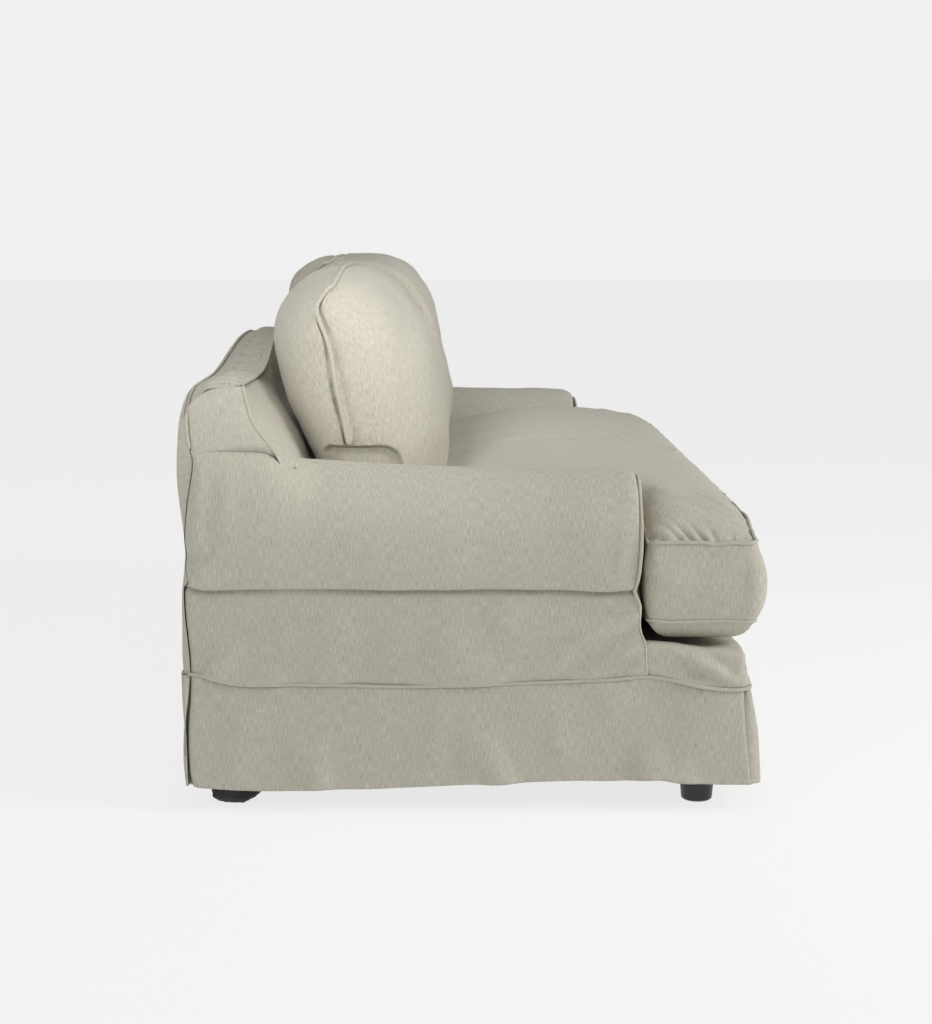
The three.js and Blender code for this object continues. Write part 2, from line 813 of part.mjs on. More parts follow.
function skirt() {
  const drops = evenShares(skirtRows);
  const flared = (flare) => (drop, wave) => (flare + skirtWaveDepth * wave) * drop * drop;
  const sideFlare = rollOverhang - skirtWaveDepth - cloth;
  addPair('side_skirt', skirtPanel([railFrontY, railRearY], drops, flared(sideFlare), hemHeight,
    (at, stand, z) => [sideFace + stand, at, z]), linen);
  const across = [-sideFace, sideFace];
  add('front_skirt', skirtPanel(across, drops, flared(skirtFlare), () => hemAtFront,
    (at, stand, z) => [at, frontOfBase - stand, z]), linen);
  const railDrop = (skirtTop - baseUnderside) / (skirtTop - hemAtRear);
  const tucked = (drop, wave) => (drop < 1 ? 0 : -skirtTuck + skirtWaveDepth * wave);
  add('rear_skirt', skirtPanel(across, [0, railDrop, 1], tucked, () => hemAtRear,
    (at, stand, z) => [at, rearFace + stand, z]), linen);
}

// Seat cushions: boxed, crowned, each with an ear in front of its arm
const cushionGap = 3;
const borderBulge = 16;
const rearCornerRadius = 70;
const frontCornerRadius = 45;
const middleCornerRadius = 30;
const notchRadius = 34;
const earCornerRadius = 16;
const cornerSteps = 4;
const longestCushionRun = 130;
const armClearance = 8;
const earClearance = 2;
const seatRearClearance = 7;
const cushionSideInset = 12;
const cushionSeat = deckTop + gap;

// The cushion's seams, seen from above
const seatSeam = {
  inner: cushionGap / 2 + borderBulge,
  arm: armInnerX - armClearance - borderBulge,
  outer: sofaWidth / 2 - cushionSideInset - borderBulge,
  front: borderBulge - sofaDepth / 2,
  ear: frontOfArm - earClearance - borderBulge,
  rear: insideBackY(cushionBorderBottom) - seatRearClearance - borderBulge,
};

// The top seam climbs from the ear to the middle of the sofa, and the crown sinks to the rear
const seamRise = 24;
const seamRiseLength = 440;
const seatCrown = 72;
const rearCrownShare = 0.42;
const crownFallLength = 240;
const crownFallReach = 332;
const crownShares = [1, 0.95, 0.86, 0.72, 0.52, 0.27];
const crownPower = 3;
const undersidePower = 4;
const undersideFullness = 1.1;
const crownCentreShare = 0.9;

const topSeam = (x) => cushionBorderTop + seamRise * ease((seatSeam.outer - x) / seamRiseLength);

function seatCushion() {
  const { inner, arm, outer, front, ear, rear } = seatSeam;
  const outline = roundedOutline([
    { at: [inner, front], radius: middleCornerRadius },
    { at: [outer, front], radius: frontCornerRadius },
    { at: [outer, ear], radius: earCornerRadius },
    { at: [arm, ear], radius: notchRadius },
    { at: [arm, rear], radius: rearCornerRadius },
    { at: [inner, rear], radius: rearCornerRadius },
  ], cornerSteps, longestCushionRun);
  const centre = [(inner + arm) / 2, mix(front, ear, crownCentreShare)];
  const closedOutline = [outline.at(-1), ...outline, outline[0]];
  const bulged = offsetPath(closedOutline, borderBulge).slice(1, -1);
  const scaled = (share) => outline.map(([x, y]) => [
    mix(centre[0], x, share),
    mix(centre[1], y, share),
  ]);
  const fall = (y) => mix(1, rearCrownShare, ease((y - rear + crownFallReach) / crownFallLength));
  const crown = (share) => Math.sqrt(1 - share ** crownPower);
  const under = (share) => Math.min(1, undersideFullness * Math.sqrt(1 - share ** undersidePower));
  const topAt = (share) => scaled(share).map(([x, y]) => (
    [x, y, topSeam(x) + seatCrown * fall(y) * crown(share)]));
  const undersideDepth = cushionBorderBottom - cushionSeat;
  const bottomAt = (share) => scaled(share).map(([x, y]) => (
    [x, y, cushionBorderBottom - undersideDepth * under(share)]));
  const rings = [
    ...crownShares.slice().reverse().map(bottomAt),
    bulged.map(([x, y]) => [x, y, (cushionBorderBottom + topSeam(x)) / 2]),
    ...crownShares.map(topAt),
  ];
  return loft(rings, { cap: 'fan' });
}

// Back cushions: fat pillows that stand on the seat cushions and lean back
const backCushionThickness = 296;
const backCushionBottom = 482;
const backCushionSetback = 158;
const backCushionLeanShare = 0.28;
const pillowEnds = [cushionGap, armInnerX - armClearance];
const pillowMiddle = (backCushionBottom + backCushionTop) / 2;
const pillowY = insideBackY(pillowMiddle) - backCushionSetback;
const fullnessPower = 2.6;
const endPower = 5;
const cornerPower = 15;
const acrossShares = [0, 0.26, 0.5, 0.7, 0.85, 0.94, 0.985];
const pillowPoints = 26;
const sitClearance = 0.5;

// Below its middle the rear of a pillow draws in, clear of the raked back
const rearTaperShare = 0.74;
const taperTopShare = 0.2;
const taperLengthShare = 0.55;

function rearDepthShare(riseShare) {
  return mix(1, rearTaperShare, ease((taperTopShare - riseShare) / taperLengthShare));
}

function backCushion(seat) {
  const halfHeight = backCushionTop - pillowMiddle;
  const rounded = (value) => Math.sign(value) * Math.abs(value) ** (2 / fullnessPower);
  const shares = [...acrossShares.slice(1).reverse().map((share) => -share), ...acrossShares];
  const rings = shares.map((across) => {
    const thin = Math.sqrt(1 - Math.abs(across) ** endPower);
    const low = Math.sqrt(Math.sqrt(1 - Math.abs(across) ** cornerPower));
    return evenShares(pillowPoints).slice(0, -1).map((turn) => {
      const angle = turn * 2 * Math.PI;
      const riseShare = low * rounded(Math.sin(angle));
      const rise = halfHeight * riseShare;
      const full = (backCushionThickness / 2) * thin * rounded(Math.cos(angle));
      const deep = full > 0 ? full * rearDepthShare(riseShare) : full;
      return [
        mix(pillowEnds[0], pillowEnds[1], (1 + across) / 2),
        pillowY + backCushionLeanShare * rise + deep,
        pillowMiddle + rise,
      ];
    });
  });
  const raisedSeat = seat.clone();
  raisedSeat.translate(0, 0, sitClearance);
  return cutBy(loft(rings, { cap: 'fan' }), raisedSeat);
}

function cushions() {
  const seat = seatCushion();
  addPair('seat_cushion', seat, linen);
  addPair('back_cushion', backCushion(seat), linen);
}

baseFrame();
feetAndBlocks();
dustCover();
backFrame();
backWebbing();
seatDeck();
backUpholstery();
addPair('back_side_panel', backSidePanel(), linen);
outerBackPanel();
arms();
addPair('side_panel', sidePanel(), linen);
skirt();
cushions();

export default group;
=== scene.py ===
"""Looks of a camelback sofa in a loose linen slipcover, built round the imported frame.

Metres, +X across the sofa, +Y towards its back, +Z up, origin on the floor under its middle.
Cloth pieces are surfaces worked out from formulas. Timber, springs, webbing and feet are the frame's own.
"""

import json

import bmesh
import bpy
import numpy as np
from mathutils import Matrix, Vector


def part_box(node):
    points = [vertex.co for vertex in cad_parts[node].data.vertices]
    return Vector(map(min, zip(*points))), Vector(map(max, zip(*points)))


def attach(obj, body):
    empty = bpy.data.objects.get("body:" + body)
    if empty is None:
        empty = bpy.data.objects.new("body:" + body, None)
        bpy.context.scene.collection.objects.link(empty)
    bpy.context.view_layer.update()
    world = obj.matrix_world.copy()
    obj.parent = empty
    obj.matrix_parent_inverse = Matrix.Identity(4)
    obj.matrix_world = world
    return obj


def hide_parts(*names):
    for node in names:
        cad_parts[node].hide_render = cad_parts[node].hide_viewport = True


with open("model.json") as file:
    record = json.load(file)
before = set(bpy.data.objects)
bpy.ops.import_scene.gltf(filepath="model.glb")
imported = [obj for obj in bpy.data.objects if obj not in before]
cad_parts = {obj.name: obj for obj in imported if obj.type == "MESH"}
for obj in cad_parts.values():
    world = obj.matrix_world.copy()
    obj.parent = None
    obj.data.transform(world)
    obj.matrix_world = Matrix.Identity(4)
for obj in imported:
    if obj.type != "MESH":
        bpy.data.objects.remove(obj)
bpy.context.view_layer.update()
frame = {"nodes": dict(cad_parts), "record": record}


def side_of(node, end, axis):
    """One side of a CAD node's box: end 0 is the lowest, 1 the highest; axis 0, 1, 2 is X, Y, Z."""
    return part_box(node)[end][axis]


# Sizes taken from the frame
ARM_IN = side_of("arm_cover_right", 0, 0)
ARM_OUT = side_of("arm_cover_right", 1, 0)
ARM_FRONT = side_of("arm_cover_right", 0, 1)
SIDE = side_of("side_panel_right", 1, 0)
BACK_END = side_of("back_side_panel_right", 1, 0)
REAR = side_of("outer_back_panel", 1, 1)
BASE_FRONT = side_of("front_border", 0, 1)
DECK_TOP = side_of("seat_deck_pad", 1, 2)
HUMP_TOP = side_of("outer_back_panel", 1, 2)
SEAT_BOTTOM = side_of("seat_cushion_right", 0, 2)

# Sizes of the covers. Heights are over the floor, pleats are places along Y, and a turn is a share of the
# half turn over an arm's roll
ARM_CREST = 0.571
ARM_RISE = 0.036
CREST_ROUNDING = {"left": (0.012, 0.030), "right": (0.024, 0.045)}
ARM_RUN = REAR - ARM_FRONT
ROLL_HEIGHT = 0.115
ARM_MIDDLE = (ARM_IN + ARM_OUT) / 2
ROLL_HALF = (ARM_OUT - ARM_IN) / 2
ROLL_SEAM = 0.386
ARCH_TURN = 0.72
ARCH_OUT = 0.016
ARCH_UP = 0.046
BACK_RISE = 0.05
BACK_END_TOP = HUMP_TOP - BACK_RISE
BACK_LEAN = 0.47
INSIDE_BACK = REAR - 0.12
PIPING = 0.0034
CUSHION_PIPING = 0.0043
BAND_PIPING = 0.0032
SKIRT_CLOTH = 0.0022
LINING_CLOTH = 0.002
CAMBRIC = 0.0008
BASE_TOP = 0.2755
FRONT_SKIRT_TOP = 0.223
FRONT_HEM = 0.052
REAR_SKIRT_TOP = 0.240
REAR_HEM = 0.045
FRONT_PLEAT = -0.46
REAR_PLEAT = 0.4985
HEM_FORWARD = 0.0165
BORDER_SCALLOP = 0.0015
SCALLOPS = 21
BOTH = ("left", "right")


def ease(share):
    """Rises from 0 to 1 with level ends."""
    s = np.clip(share, 0, 1)
    return s * s * (3 - 2 * s)


def mix(start, end, share):
    """From start to end: start + (end - start) * share."""
    return start + (end - start) * share


def round_edge(share):
    """A quarter round: 0 at the edge with an upright start, 1 from share 1 on."""
    s = np.clip(share, 0, 1)
    return np.sqrt(1 - (1 - s) ** 2)


def closer_at_ends(count):
    """So many shares from 0 to 1, closer together at both ends."""
    return (1 - np.cos(np.linspace(0, np.pi, count))) / 2


def through(points, count):
    """A Catmull-Rom curve through given points, resampled at even distances."""
    p = np.asarray(points, float)
    p = np.vstack([2 * p[0] - p[1], p, 2 * p[-1] - p[-2]])
    t = np.linspace(0, 1, 17)[:-1, None]
    dense = []
    for before, start, end, after in zip(p[:-3], p[1:-2], p[2:-1], p[3:]):
        squared = 2 * before - 5 * start + 4 * end - after
        cubed = 3 * start - before - 3 * end + after
        dense.append(0.5 * (2 * start + (end - before) * t + squared * t ** 2 + cubed * t ** 3))
    dense = np.vstack(dense + [p[-2:-1]])
    return resampled(dense, count)


def resampled(path, count):
    """The path again, as so many points at even distances along it."""
    steps = np.linalg.norm(np.diff(path, axis=0), axis=1)
    along = np.concatenate([[0], np.cumsum(steps)])
    wanted = np.linspace(0, along[-1], count)
    return np.stack([np.interp(wanted, along, path[:, k]) for k in range(path.shape[1])], 1)


def profile(points):
    """A smooth function through (place, value) points, in order of place."""
    dense = through(points, 240)
    order = np.argsort(dense[:, 0])
    return lambda place: np.interp(place, dense[order, 0], dense[order, 1])


def grid(x, y, z):
    """The points of a surface from its three coordinates, each spread over the whole grid."""
    return np.stack(np.broadcast_arrays(x, y, z), -1)


def normals(P):
    """Unit normals of the surface P[i, j], along di x dj."""
    n = np.cross(np.gradient(P, axis=0), np.gradient(P, axis=1))
    return n / np.maximum(np.linalg.norm(n, axis=-1, keepdims=True), 1e-12)


def pushed(P, depth):
    """The surface moved along its normals by depth."""
    return P + normals(P) * np.asarray(depth)[..., None]


def fold(a, b, start, end, width, height):
    """A crease in the cloth: height * exp(-(distance / width)^2) along the line, faded at both ends."""
    run = np.subtract(end, start)
    length = np.hypot(*run)
    along = ((a - start[0]) * run[0] + (b - start[1]) * run[1]) / length ** 2
    away = ((a - start[0]) * run[1] - (b - start[1]) * run[0]) / length
    return height * np.exp(-(away / width) ** 2) * np.sin(np.pi * np.clip(along, 0, 1)) ** 0.7


def folds(a, b, lines):
    """The sum of several creases, each given as start, end, width and height."""
    return sum(fold(a, b, *line) for line in lines)


def undulation(a, b, longest, depth, seed):
    """Slack cloth: plane waves in random directions, the long ones the deepest."""
    rng = np.random.default_rng(seed)
    total = 0
    for _ in range(14):
        length = longest * rng.uniform(0.22, 1)
        heading = rng.uniform(0, 2 * np.pi)
        phase = rng.uniform(0, 2 * np.pi)
        total = total + length * np.sin(
            2 * np.pi * (a * np.cos(heading) + b * np.sin(heading)) / length + phase)
    return depth * total / (longest * 1.6)


def puckers(along, away, pitch, reach, depth, seed):
    """Small gathers beside a seam: uneven ripples along it that die out over the reach."""
    rng = np.random.default_rng(seed)
    total = 0
    for _ in range(5):
        length = pitch * rng.uniform(0.6, 1.9)
        phase = rng.uniform(0, 2 * np.pi)
        total = total + np.sin(2 * np.pi * along / length + phase)
    strength = 0.45 + 0.55 * np.sin(2 * np.pi * along / (pitch * 7.3) + seed) ** 2
    return depth * 0.45 * total * strength * np.exp(-away / reach) * np.clip(away / 0.006, 0, 1)


def kept_out(depth, least=-0.0012):
    """Bends a depth so that it never goes below least, where the cloth lies on timber."""
    bend = 0.003
    over = depth - least
    return least + np.where(over > bend, over, bend * np.exp((over - bend) / bend))


def groove(away, width=0.0035, depth=0.0032):
    """The small valley of cloth pulled into a plain seam."""
    return -depth * np.exp(-(away / width) ** 2)


def cloth_uv(P):
    """UVs in metres along the two directions of the surface, so that the weave keeps its size."""
    u = np.concatenate([[0], np.cumsum(np.linalg.norm(np.diff(P, axis=0), axis=2).mean(1))])
    v = np.concatenate([[0], np.cumsum(np.linalg.norm(np.diff(P, axis=1), axis=2).mean(0))])
    return np.stack(np.meshgrid(u, v, indexing="ij"), -1)


def panel(P, uv=None, wrap=False):
    """Points, quads and UVs of the grid P[i, j]. Its normals point along di x dj."""
    if wrap:
        P = np.concatenate([P, P[:1]])
    uv = cloth_uv(P) if uv is None else uv
    n, m = P.shape[:2]
    index = np.arange(n * m).reshape(n, m)
    if wrap:
        index[-1] = index[0]
        P = P[:-1]
    quads = np.stack([index[:-1, :-1], index[1:, :-1], index[1:, 1:], index[:-1, 1:]], -1)
    corners = np.stack([uv[:-1, :-1], uv[1:, :-1], uv[1:, 1:], uv[:-1, 1:]], 2)
    return P.reshape(-1, 3), quads.reshape(-1, 4), corners.reshape(-1, 4, 2)


def mirrored(part):
    """The same part on the left-hand side, with its faces still outwards."""
    points, quads, uv = part
    return points * (-1, 1, 1), quads[:, ::-1], uv[:, ::-1]


def on_side(parts, side):
    """Parts made for the right-hand side, put on the side that is asked for."""
    return [part if side == "right" else mirrored(part) for part in parts]


def welt(path, radius, sides=8, closed=False):
    """A round welt along a path, with closed ends unless the path is closed."""
    path = np.asarray(path, float)
    tangent = np.gradient(path, axis=0)
    if closed:
        tangent = np.roll(path, -1, 0) - np.roll(path, 1, 0)
    tangent /= np.linalg.norm(tangent, axis=1, keepdims=True)
    normal = np.zeros_like(path)
    slanting = (0.3, 0.5, 0.8)
    start = np.cross(tangent[0], slanting)
    normal[0] = start / np.linalg.norm(start)
    for i in range(1, len(path)):
        n = normal[i - 1] - tangent[i] * np.dot(normal[i - 1], tangent[i])
        normal[i] = n / np.linalg.norm(n)
    binormal = np.cross(tangent, normal)
    size = np.full(len(path), radius)
    if not closed:
        size[[0, -1]] = radius * 0.05
    angle = np.linspace(0, 2 * np.pi, sides, endpoint=False)[:, None, None]
    P = path + size[:, None] * (np.cos(angle) * normal + np.sin(angle) * binormal)
    if closed:
        P = np.concatenate([P, P[:, :1]], 1)
    return panel(P[::-1], wrap=True)


def build(name, parts, material, body, weld=False):
    """One object out of several surfaces, riding on a CAD body."""
    points = np.concatenate([part[0] for part in parts])
    offsets = np.cumsum([0] + [len(part[0]) for part in parts[:-1]])
    quads = np.concatenate([part[1] + start for part, start in zip(parts, offsets)])
    uv = np.concatenate([part[2] for part in parts])
    mesh = bpy.data.meshes.new(name)
    mesh.vertices.add(len(points))
    mesh.vertices.foreach_set("co", points.astype(np.float32).ravel())
    mesh.loops.add(quads.size)
    mesh.loops.foreach_set("vertex_index", quads.astype(np.int32).ravel())
    mesh.polygons.add(len(quads))
    mesh.polygons.foreach_set("loop_start", np.arange(0, quads.size, 4, dtype=np.int32))
    mesh.polygons.foreach_set("use_smooth", np.ones(len(quads), bool))
    mesh.update(calc_edges=True)
    mesh.uv_layers.new(name="cloth").data.foreach_set("uv", uv.astype(np.float32).ravel())
    if weld:
        work = bmesh.new()
        work.from_mesh(mesh)
        bmesh.ops.remove_doubles(work, verts=work.verts, dist=2e-5)
        bmesh.ops.dissolve_degenerate(work, edges=work.edges, dist=1e-6)
        work.to_mesh(mesh)
        work.free()
    mesh.materials.append(material)
    obj = bpy.data.objects.new(name, mesh)
    bpy.context.scene.collection.objects.link(obj)
    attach(obj, body)
    return obj


def thickened(obj, thickness):
    """Gives a single layer of cloth its thickness, inwards."""
    layer = obj.modifiers.new("thickness", "SOLIDIFY")
    layer.thickness = thickness
    layer.offset = -1
    return obj


# Materials


def srgb(code, alpha=1.0):
    """A colour from its sRGB hex code, as the linear values that shaders take."""
    values = [int(code[i:i + 2], 16) / 255 for i in (0, 2, 4)]
    linear = [v / 12.92 if v <= 0.04045 else ((v + 0.055) / 1.055) ** 2.4 for v in values]
    return (*linear, alpha)


def node(tree, kind, inputs=(), links=(), **settings):
    """Adds a shader node, sets its sockets and settings, and links other nodes' outputs into it."""
    made = tree.nodes.new(kind)
    for key, value in settings.items():
        setattr(made, key, value)
    for key, value in dict(inputs).items():
        made.inputs[key].default_value = value
    for key, source in dict(links).items():
        tree.links.new(source, made.inputs[key])
    return made


def plain_material(name, color, roughness, metallic=0.0):
    """One even colour and roughness."""
    material = bpy.data.materials.new(name)
    material.use_nodes = True
    shader = material.node_tree.nodes["Principled BSDF"]
    shader.inputs["Base Color"].default_value = srgb(color)
    shader.inputs["Roughness"].default_value = roughness
    shader.inputs["Metallic"].default_value = metallic
    return material


def stretched_noise(tree, place, across, along, detail=2.0):
    """Noise drawn out into threads: so many per metre across and along."""
    scaled = node(tree, "ShaderNodeMapping", {"Scale": (across, along, 1)}, {"Vector": place})
    return node(tree, "ShaderNodeTexNoise", {"Scale": 1.0, "Detail": detail, "Roughness": 0.6},
                {"Vector": scaled.outputs["Vector"]})


def added(tree, value, share, base):
    """base + value * share."""
    sum_node = node(tree, "ShaderNodeMath", {1: share}, {0: value, 2: base}, operation="MULTIPLY_ADD")
    return sum_node.outputs[0]


def linen_cloth(name, color, deep, by_itself=False):
    """Linen-look slub weave: thick and thin threads, a soft mottle and a matt face. The slubs are drawn about
    17 mm long and 0.9 mm wide, coarser than real ones, so that they show. Painted shade: where the cloth
    folds in within 12 mm, as at a seam, an occlusion test darkens its colour towards a dark crease colour,
    standing in for the shade that falls there. Loose pieces look only at themselves for that (by_itself)."""
    material = bpy.data.materials.new(name)
    material.use_nodes = True
    tree = material.node_tree
    shader = tree.nodes["Principled BSDF"]
    place = node(tree, "ShaderNodeUVMap", uv_map="cloth").outputs["UV"]
    thread_count, slub_count, grain_count, mottle_count = 1150, (60, 75), 1400, 60
    weft_share, grain_share, mottle_share = 0.32, 0.5, 0.04
    warp = stretched_noise(tree, place, slub_count[0], thread_count, 2.0)
    weft = stretched_noise(tree, place, thread_count, slub_count[1], 2.0)
    grain = stretched_noise(tree, place, grain_count, grain_count, 1.0)
    mottle = stretched_noise(tree, place, mottle_count, mottle_count, 1.0)
    threads = added(tree, weft.outputs["Fac"], weft_share, warp.outputs["Fac"])
    with_grain = added(tree, grain.outputs["Fac"], grain_share, threads)
    with_mottle = added(tree, mottle.outputs["Fac"], mottle_share, with_grain)
    shade = node(tree, "ShaderNodeMapRange", {"From Min": 0.70, "From Max": 1.12},
                 {"Value": with_mottle})
    tone = node(tree, "ShaderNodeMix", {6: srgb(deep), 7: srgb(color)}, {0: shade.outputs[0]},
                data_type="RGBA")
    # Painted shade in folds and seams: the colour is mixed towards a dark crease colour where an occlusion
    # test finds the cloth closed in
    fold_reach, closed, wide_open, crease_shade_colour = 0.012, 0.32, 0.78, srgb("3a362e")
    enclosed = node(tree, "ShaderNodeAmbientOcclusion", {"Distance": fold_reach}, samples=8,
                    only_local=by_itself)
    open_share = node(tree, "ShaderNodeMapRange", {"From Min": closed, "From Max": wide_open, "To Min": 0.25},
                      {"Value": enclosed.outputs["AO"]})
    painted_crease_shade = node(tree, "ShaderNodeMix", {6: crease_shade_colour}, {0: open_share.outputs[0], 7: tone.outputs[2]},
                   data_type="RGBA")
    tree.links.new(painted_crease_shade.outputs[2], shader.inputs["Base Color"])
    bump = node(tree, "ShaderNodeBump", {"Strength": 0.5, "Distance": 0.0006},
                {"Height": with_grain})
    tree.links.new(bump.outputs["Normal"], shader.inputs["Normal"])
    shader.inputs["Roughness"].default_value = 0.95
    shader.inputs["Specular IOR Level"].default_value = 0.12
    shader.inputs["Sheen Weight"].default_value = 0.12
    shader.inputs["Sheen Roughness"].default_value = 0.6
    return material


def stained_wood(name, color, deep, roughness):
    """Turned wood: long grain up the piece, under a stain and a satin lacquer."""
    material = bpy.data.materials.new(name)
    material.use_nodes = True
    tree = material.node_tree
    shader = tree.nodes["Principled BSDF"]
    place = node(tree, "ShaderNodeTexCoord").outputs["Object"]
    scaled = node(tree, "ShaderNodeMapping", {"Scale": (160, 160, 9)}, {"Vector": place})
    grain = node(tree, "ShaderNodeTexNoise", {"Scale": 1.0, "Detail": 4.0},
                 {"Vector": scaled.outputs["Vector"]})
    tone = node(tree, "ShaderNodeMix", {6: srgb(deep), 7: srgb(color)}, {0: grain.outputs["Fac"]},
                data_type="RGBA")
    tree.links.new(tone.outputs[2], shader.inputs["Base Color"])
    shader.inputs["Roughness"].default_value = roughness
    return material


# Slubbed linen, loosely woven: pale oatmeal with fine darker streaks, quite matt, with painted shade
# darkening its seams and folds
LINEN = linen_cloth("slubbed linen", "d6d2c4", "a8a394")
CUSHION_LINEN = linen_cloth("slubbed linen of the cushions", "d6d2c4", "a8a394", by_itself=True)
# The plainer, flatter linen of the deck under the cushions, with the same painted shade in its folds
DECK_LINEN = linen_cloth("deck linen", "cdc9bc", "b3ae9f", by_itself=True)
# Thin black cambric: dead matt and a little warm, so that its creases barely show
BLACK_CLOTH = plain_material("black cambric", "2b292b", 0.85)
# Turned beech under a dark stain and satin lacquer: near black with a soft highlight
DARK_FOOT = stained_wood("dark stained beech", "2b262b", "1b171b", 0.38)
# Sawn softwood of the frame: straw-coloured and dull, seen only where covers lift
SOFTWOOD = stained_wood("sawn softwood", "cfae80", "b98f5e", 0.8)
# Drawn spring steel: grey, with a fairly sharp highlight along the wire
STEEL = plain_material("drawn spring wire", "9a9ca0", 0.35, 1.0)
# Woven elastic webbing: a flat brown-grey
WEB = plain_material("woven elastic webbing", "6f665b", 0.9)


def finish_frame_nodes():
    """Gives the hard nodes that stay in view the material of their slot."""
    by_slot = {"softwood": SOFTWOOD, "spring_steel": STEEL, "elastic_web": WEB, "dark_foot": DARK_FOOT}
    for piece in frame["record"]["subparts"]:
        material = by_slot.get(piece["material_slot"])
        if material:
            mesh = frame["nodes"][piece["node"]].data
            mesh.materials.clear()
            mesh.materials.append(material)


# Edges that several covers share, on the right-hand side. The points of an upright edge are (height, place
# along Y), those of a level one are (place along Y, height)


rear_edge = profile([(0.03, 0.492), (0.076, 0.5025), (0.15, 0.503), (0.194, 0.499), (0.2414, 0.4965),
                     (0.282, 0.498), (0.336, 0.503), (0.375, 0.5045), (0.394, 0.5037), (0.4026, 0.497),
                     (0.4287, 0.5013), (0.45, 0.499), (0.48, 0.502), (0.529, 0.4977), (0.57, 0.4915),
                     (0.608, 0.4865), (0.64, 0.4935), (0.68, 0.4965), (0.79, 0.4965)])
skirt_line = profile([(-0.47, 0.222), (-0.452, 0.2145), (-0.40, 0.2175), (-0.344, 0.2284), (-0.289, 0.2353),
                      (-0.255, 0.2319), (-0.214, 0.2284), (0.09, 0.218), (0.22, 0.2198), (0.33, 0.2216),
                      (0.406, 0.2216), (0.449, 0.2286), (0.481, 0.238), (0.50, 0.241)])
hem_line = profile([(-0.48, 0.048), (-0.41, 0.048), (-0.349, 0.052), (-0.3175, 0.0573), (-0.2758, 0.0556),
                    (-0.227, 0.0522), (-0.142, 0.0523), (0.115, 0.0421), (0.1865, 0.0387), (0.2734, 0.0388),
                    (0.3446, 0.0354), (0.4036, 0.0364), (0.4817, 0.041), (0.51, 0.0464)])
side_front_edge = profile([(0.60, 0.336), (0.6245, 0.348), (0.659, 0.373), (0.681, 0.387), (0.707, 0.394),
                           (0.739, 0.401), (0.80, 0.41)])
arm_front_edge = profile([(0.22, -0.289), (0.241, -0.289), (0.266, -0.2875), (0.292, -0.286), (0.312, -0.278),
                          (0.330, -0.2755), (0.359, -0.277), (0.377, -0.270), (0.386, -0.267),
                          (0.402, -0.271), (0.43, -0.275), (0.5, -0.278), (0.7, -0.277)])


def roll_seam(y):
    """The seam under the roll, pulled up at the rear corner and a little slack near the front."""
    return ROLL_SEAM + 0.008 * np.exp(-((rear_edge(ROLL_SEAM) - y) / 0.02) ** 2) - 0.003 * np.exp(
        -((y + 0.21) / 0.05) ** 2)


def inside_back(z):
    """How far back the inside face of the back is at a height: it leans, and more so above the arms."""
    return INSIDE_BACK + BACK_LEAN * (z - BACK_END_TOP) + 0.020 * ease((z - 0.60) / 0.12)


def rear_corner(z):
    """How far out the rear panel's ends reach: to the side panels below the arms, less far above them."""
    return mix(SIDE - 0.0005, BACK_END, ease((z - 0.55) / 0.08))


def hump(x):
    """The camel hump, as a share of its rise: a cosine from 1 in the middle to 0 at 0.7 of the half width."""
    return 0.5 + 0.5 * np.cos(np.pi * np.minimum(1, np.abs(x) / (0.7 * BACK_END)))


def camel(x):
    """The top line of the back: a low hump across the middle that falls to level ends, rounded off."""
    into_end = np.clip(1 - (BACK_END - np.abs(x)) / 0.14, 0, 1)
    return BACK_END_TOP + BACK_RISE * hump(x) - 0.042 * into_end ** 2


def camel_front(x):
    """The front edge of the top band, which stands a little over the rear one towards the ends."""
    return BACK_END_TOP + BACK_RISE * hump(x) + 0.004 + 0.008 * (np.abs(x) / BACK_END) ** 2


# Arms


def arm_section(leg, y, side):
    """Section of the arm's cover at y. Leg 0 to 1 goes up the inner face, 1 to 2 over the roll, 2 to 3
    down the outer face to the seam. Over the roll x = middle - half * cos(turn), z = shoulder + height *
    sin(turn), and near the back its outer half swells up to the arch seam."""
    drop, length = CREST_ROUNDING[side]
    behind_front = y - ARM_FRONT
    crest = ARM_CREST + 0.012 + ARM_RISE * (behind_front / ARM_RUN) ** 2
    crest = crest - drop * (1 - round_edge(behind_front / length))
    shoulder = crest - ROLL_HEIGHT
    turn = np.clip(leg - 1, 0, 1)
    over_crest = ease((turn - 0.5) / (ARCH_TURN - 0.5)) * ease((1 - turn) / (1 - ARCH_TURN))
    swell = over_crest * ease((y - 0.27) / 0.1)
    x = ARM_MIDDLE - ROLL_HALF * np.cos(np.pi * turn) + ARCH_OUT * swell
    z = shoulder + ROLL_HEIGHT * np.sin(np.pi * turn) + ARCH_UP * swell
    inner = np.clip(leg, 0, 1)
    z = np.where(leg < 1, mix(DECK_TOP, shoulder, inner), z)
    tuck = np.clip(leg - 2, 0, 1) * np.pi / 2
    down = shoulder - (shoulder - roll_seam(y)) * np.sin(tuck)
    x = np.where(leg > 2, SIDE + (ARM_OUT - SIDE) * np.cos(tuck), x)
    z = np.where(leg > 2, down, z)
    return x, z


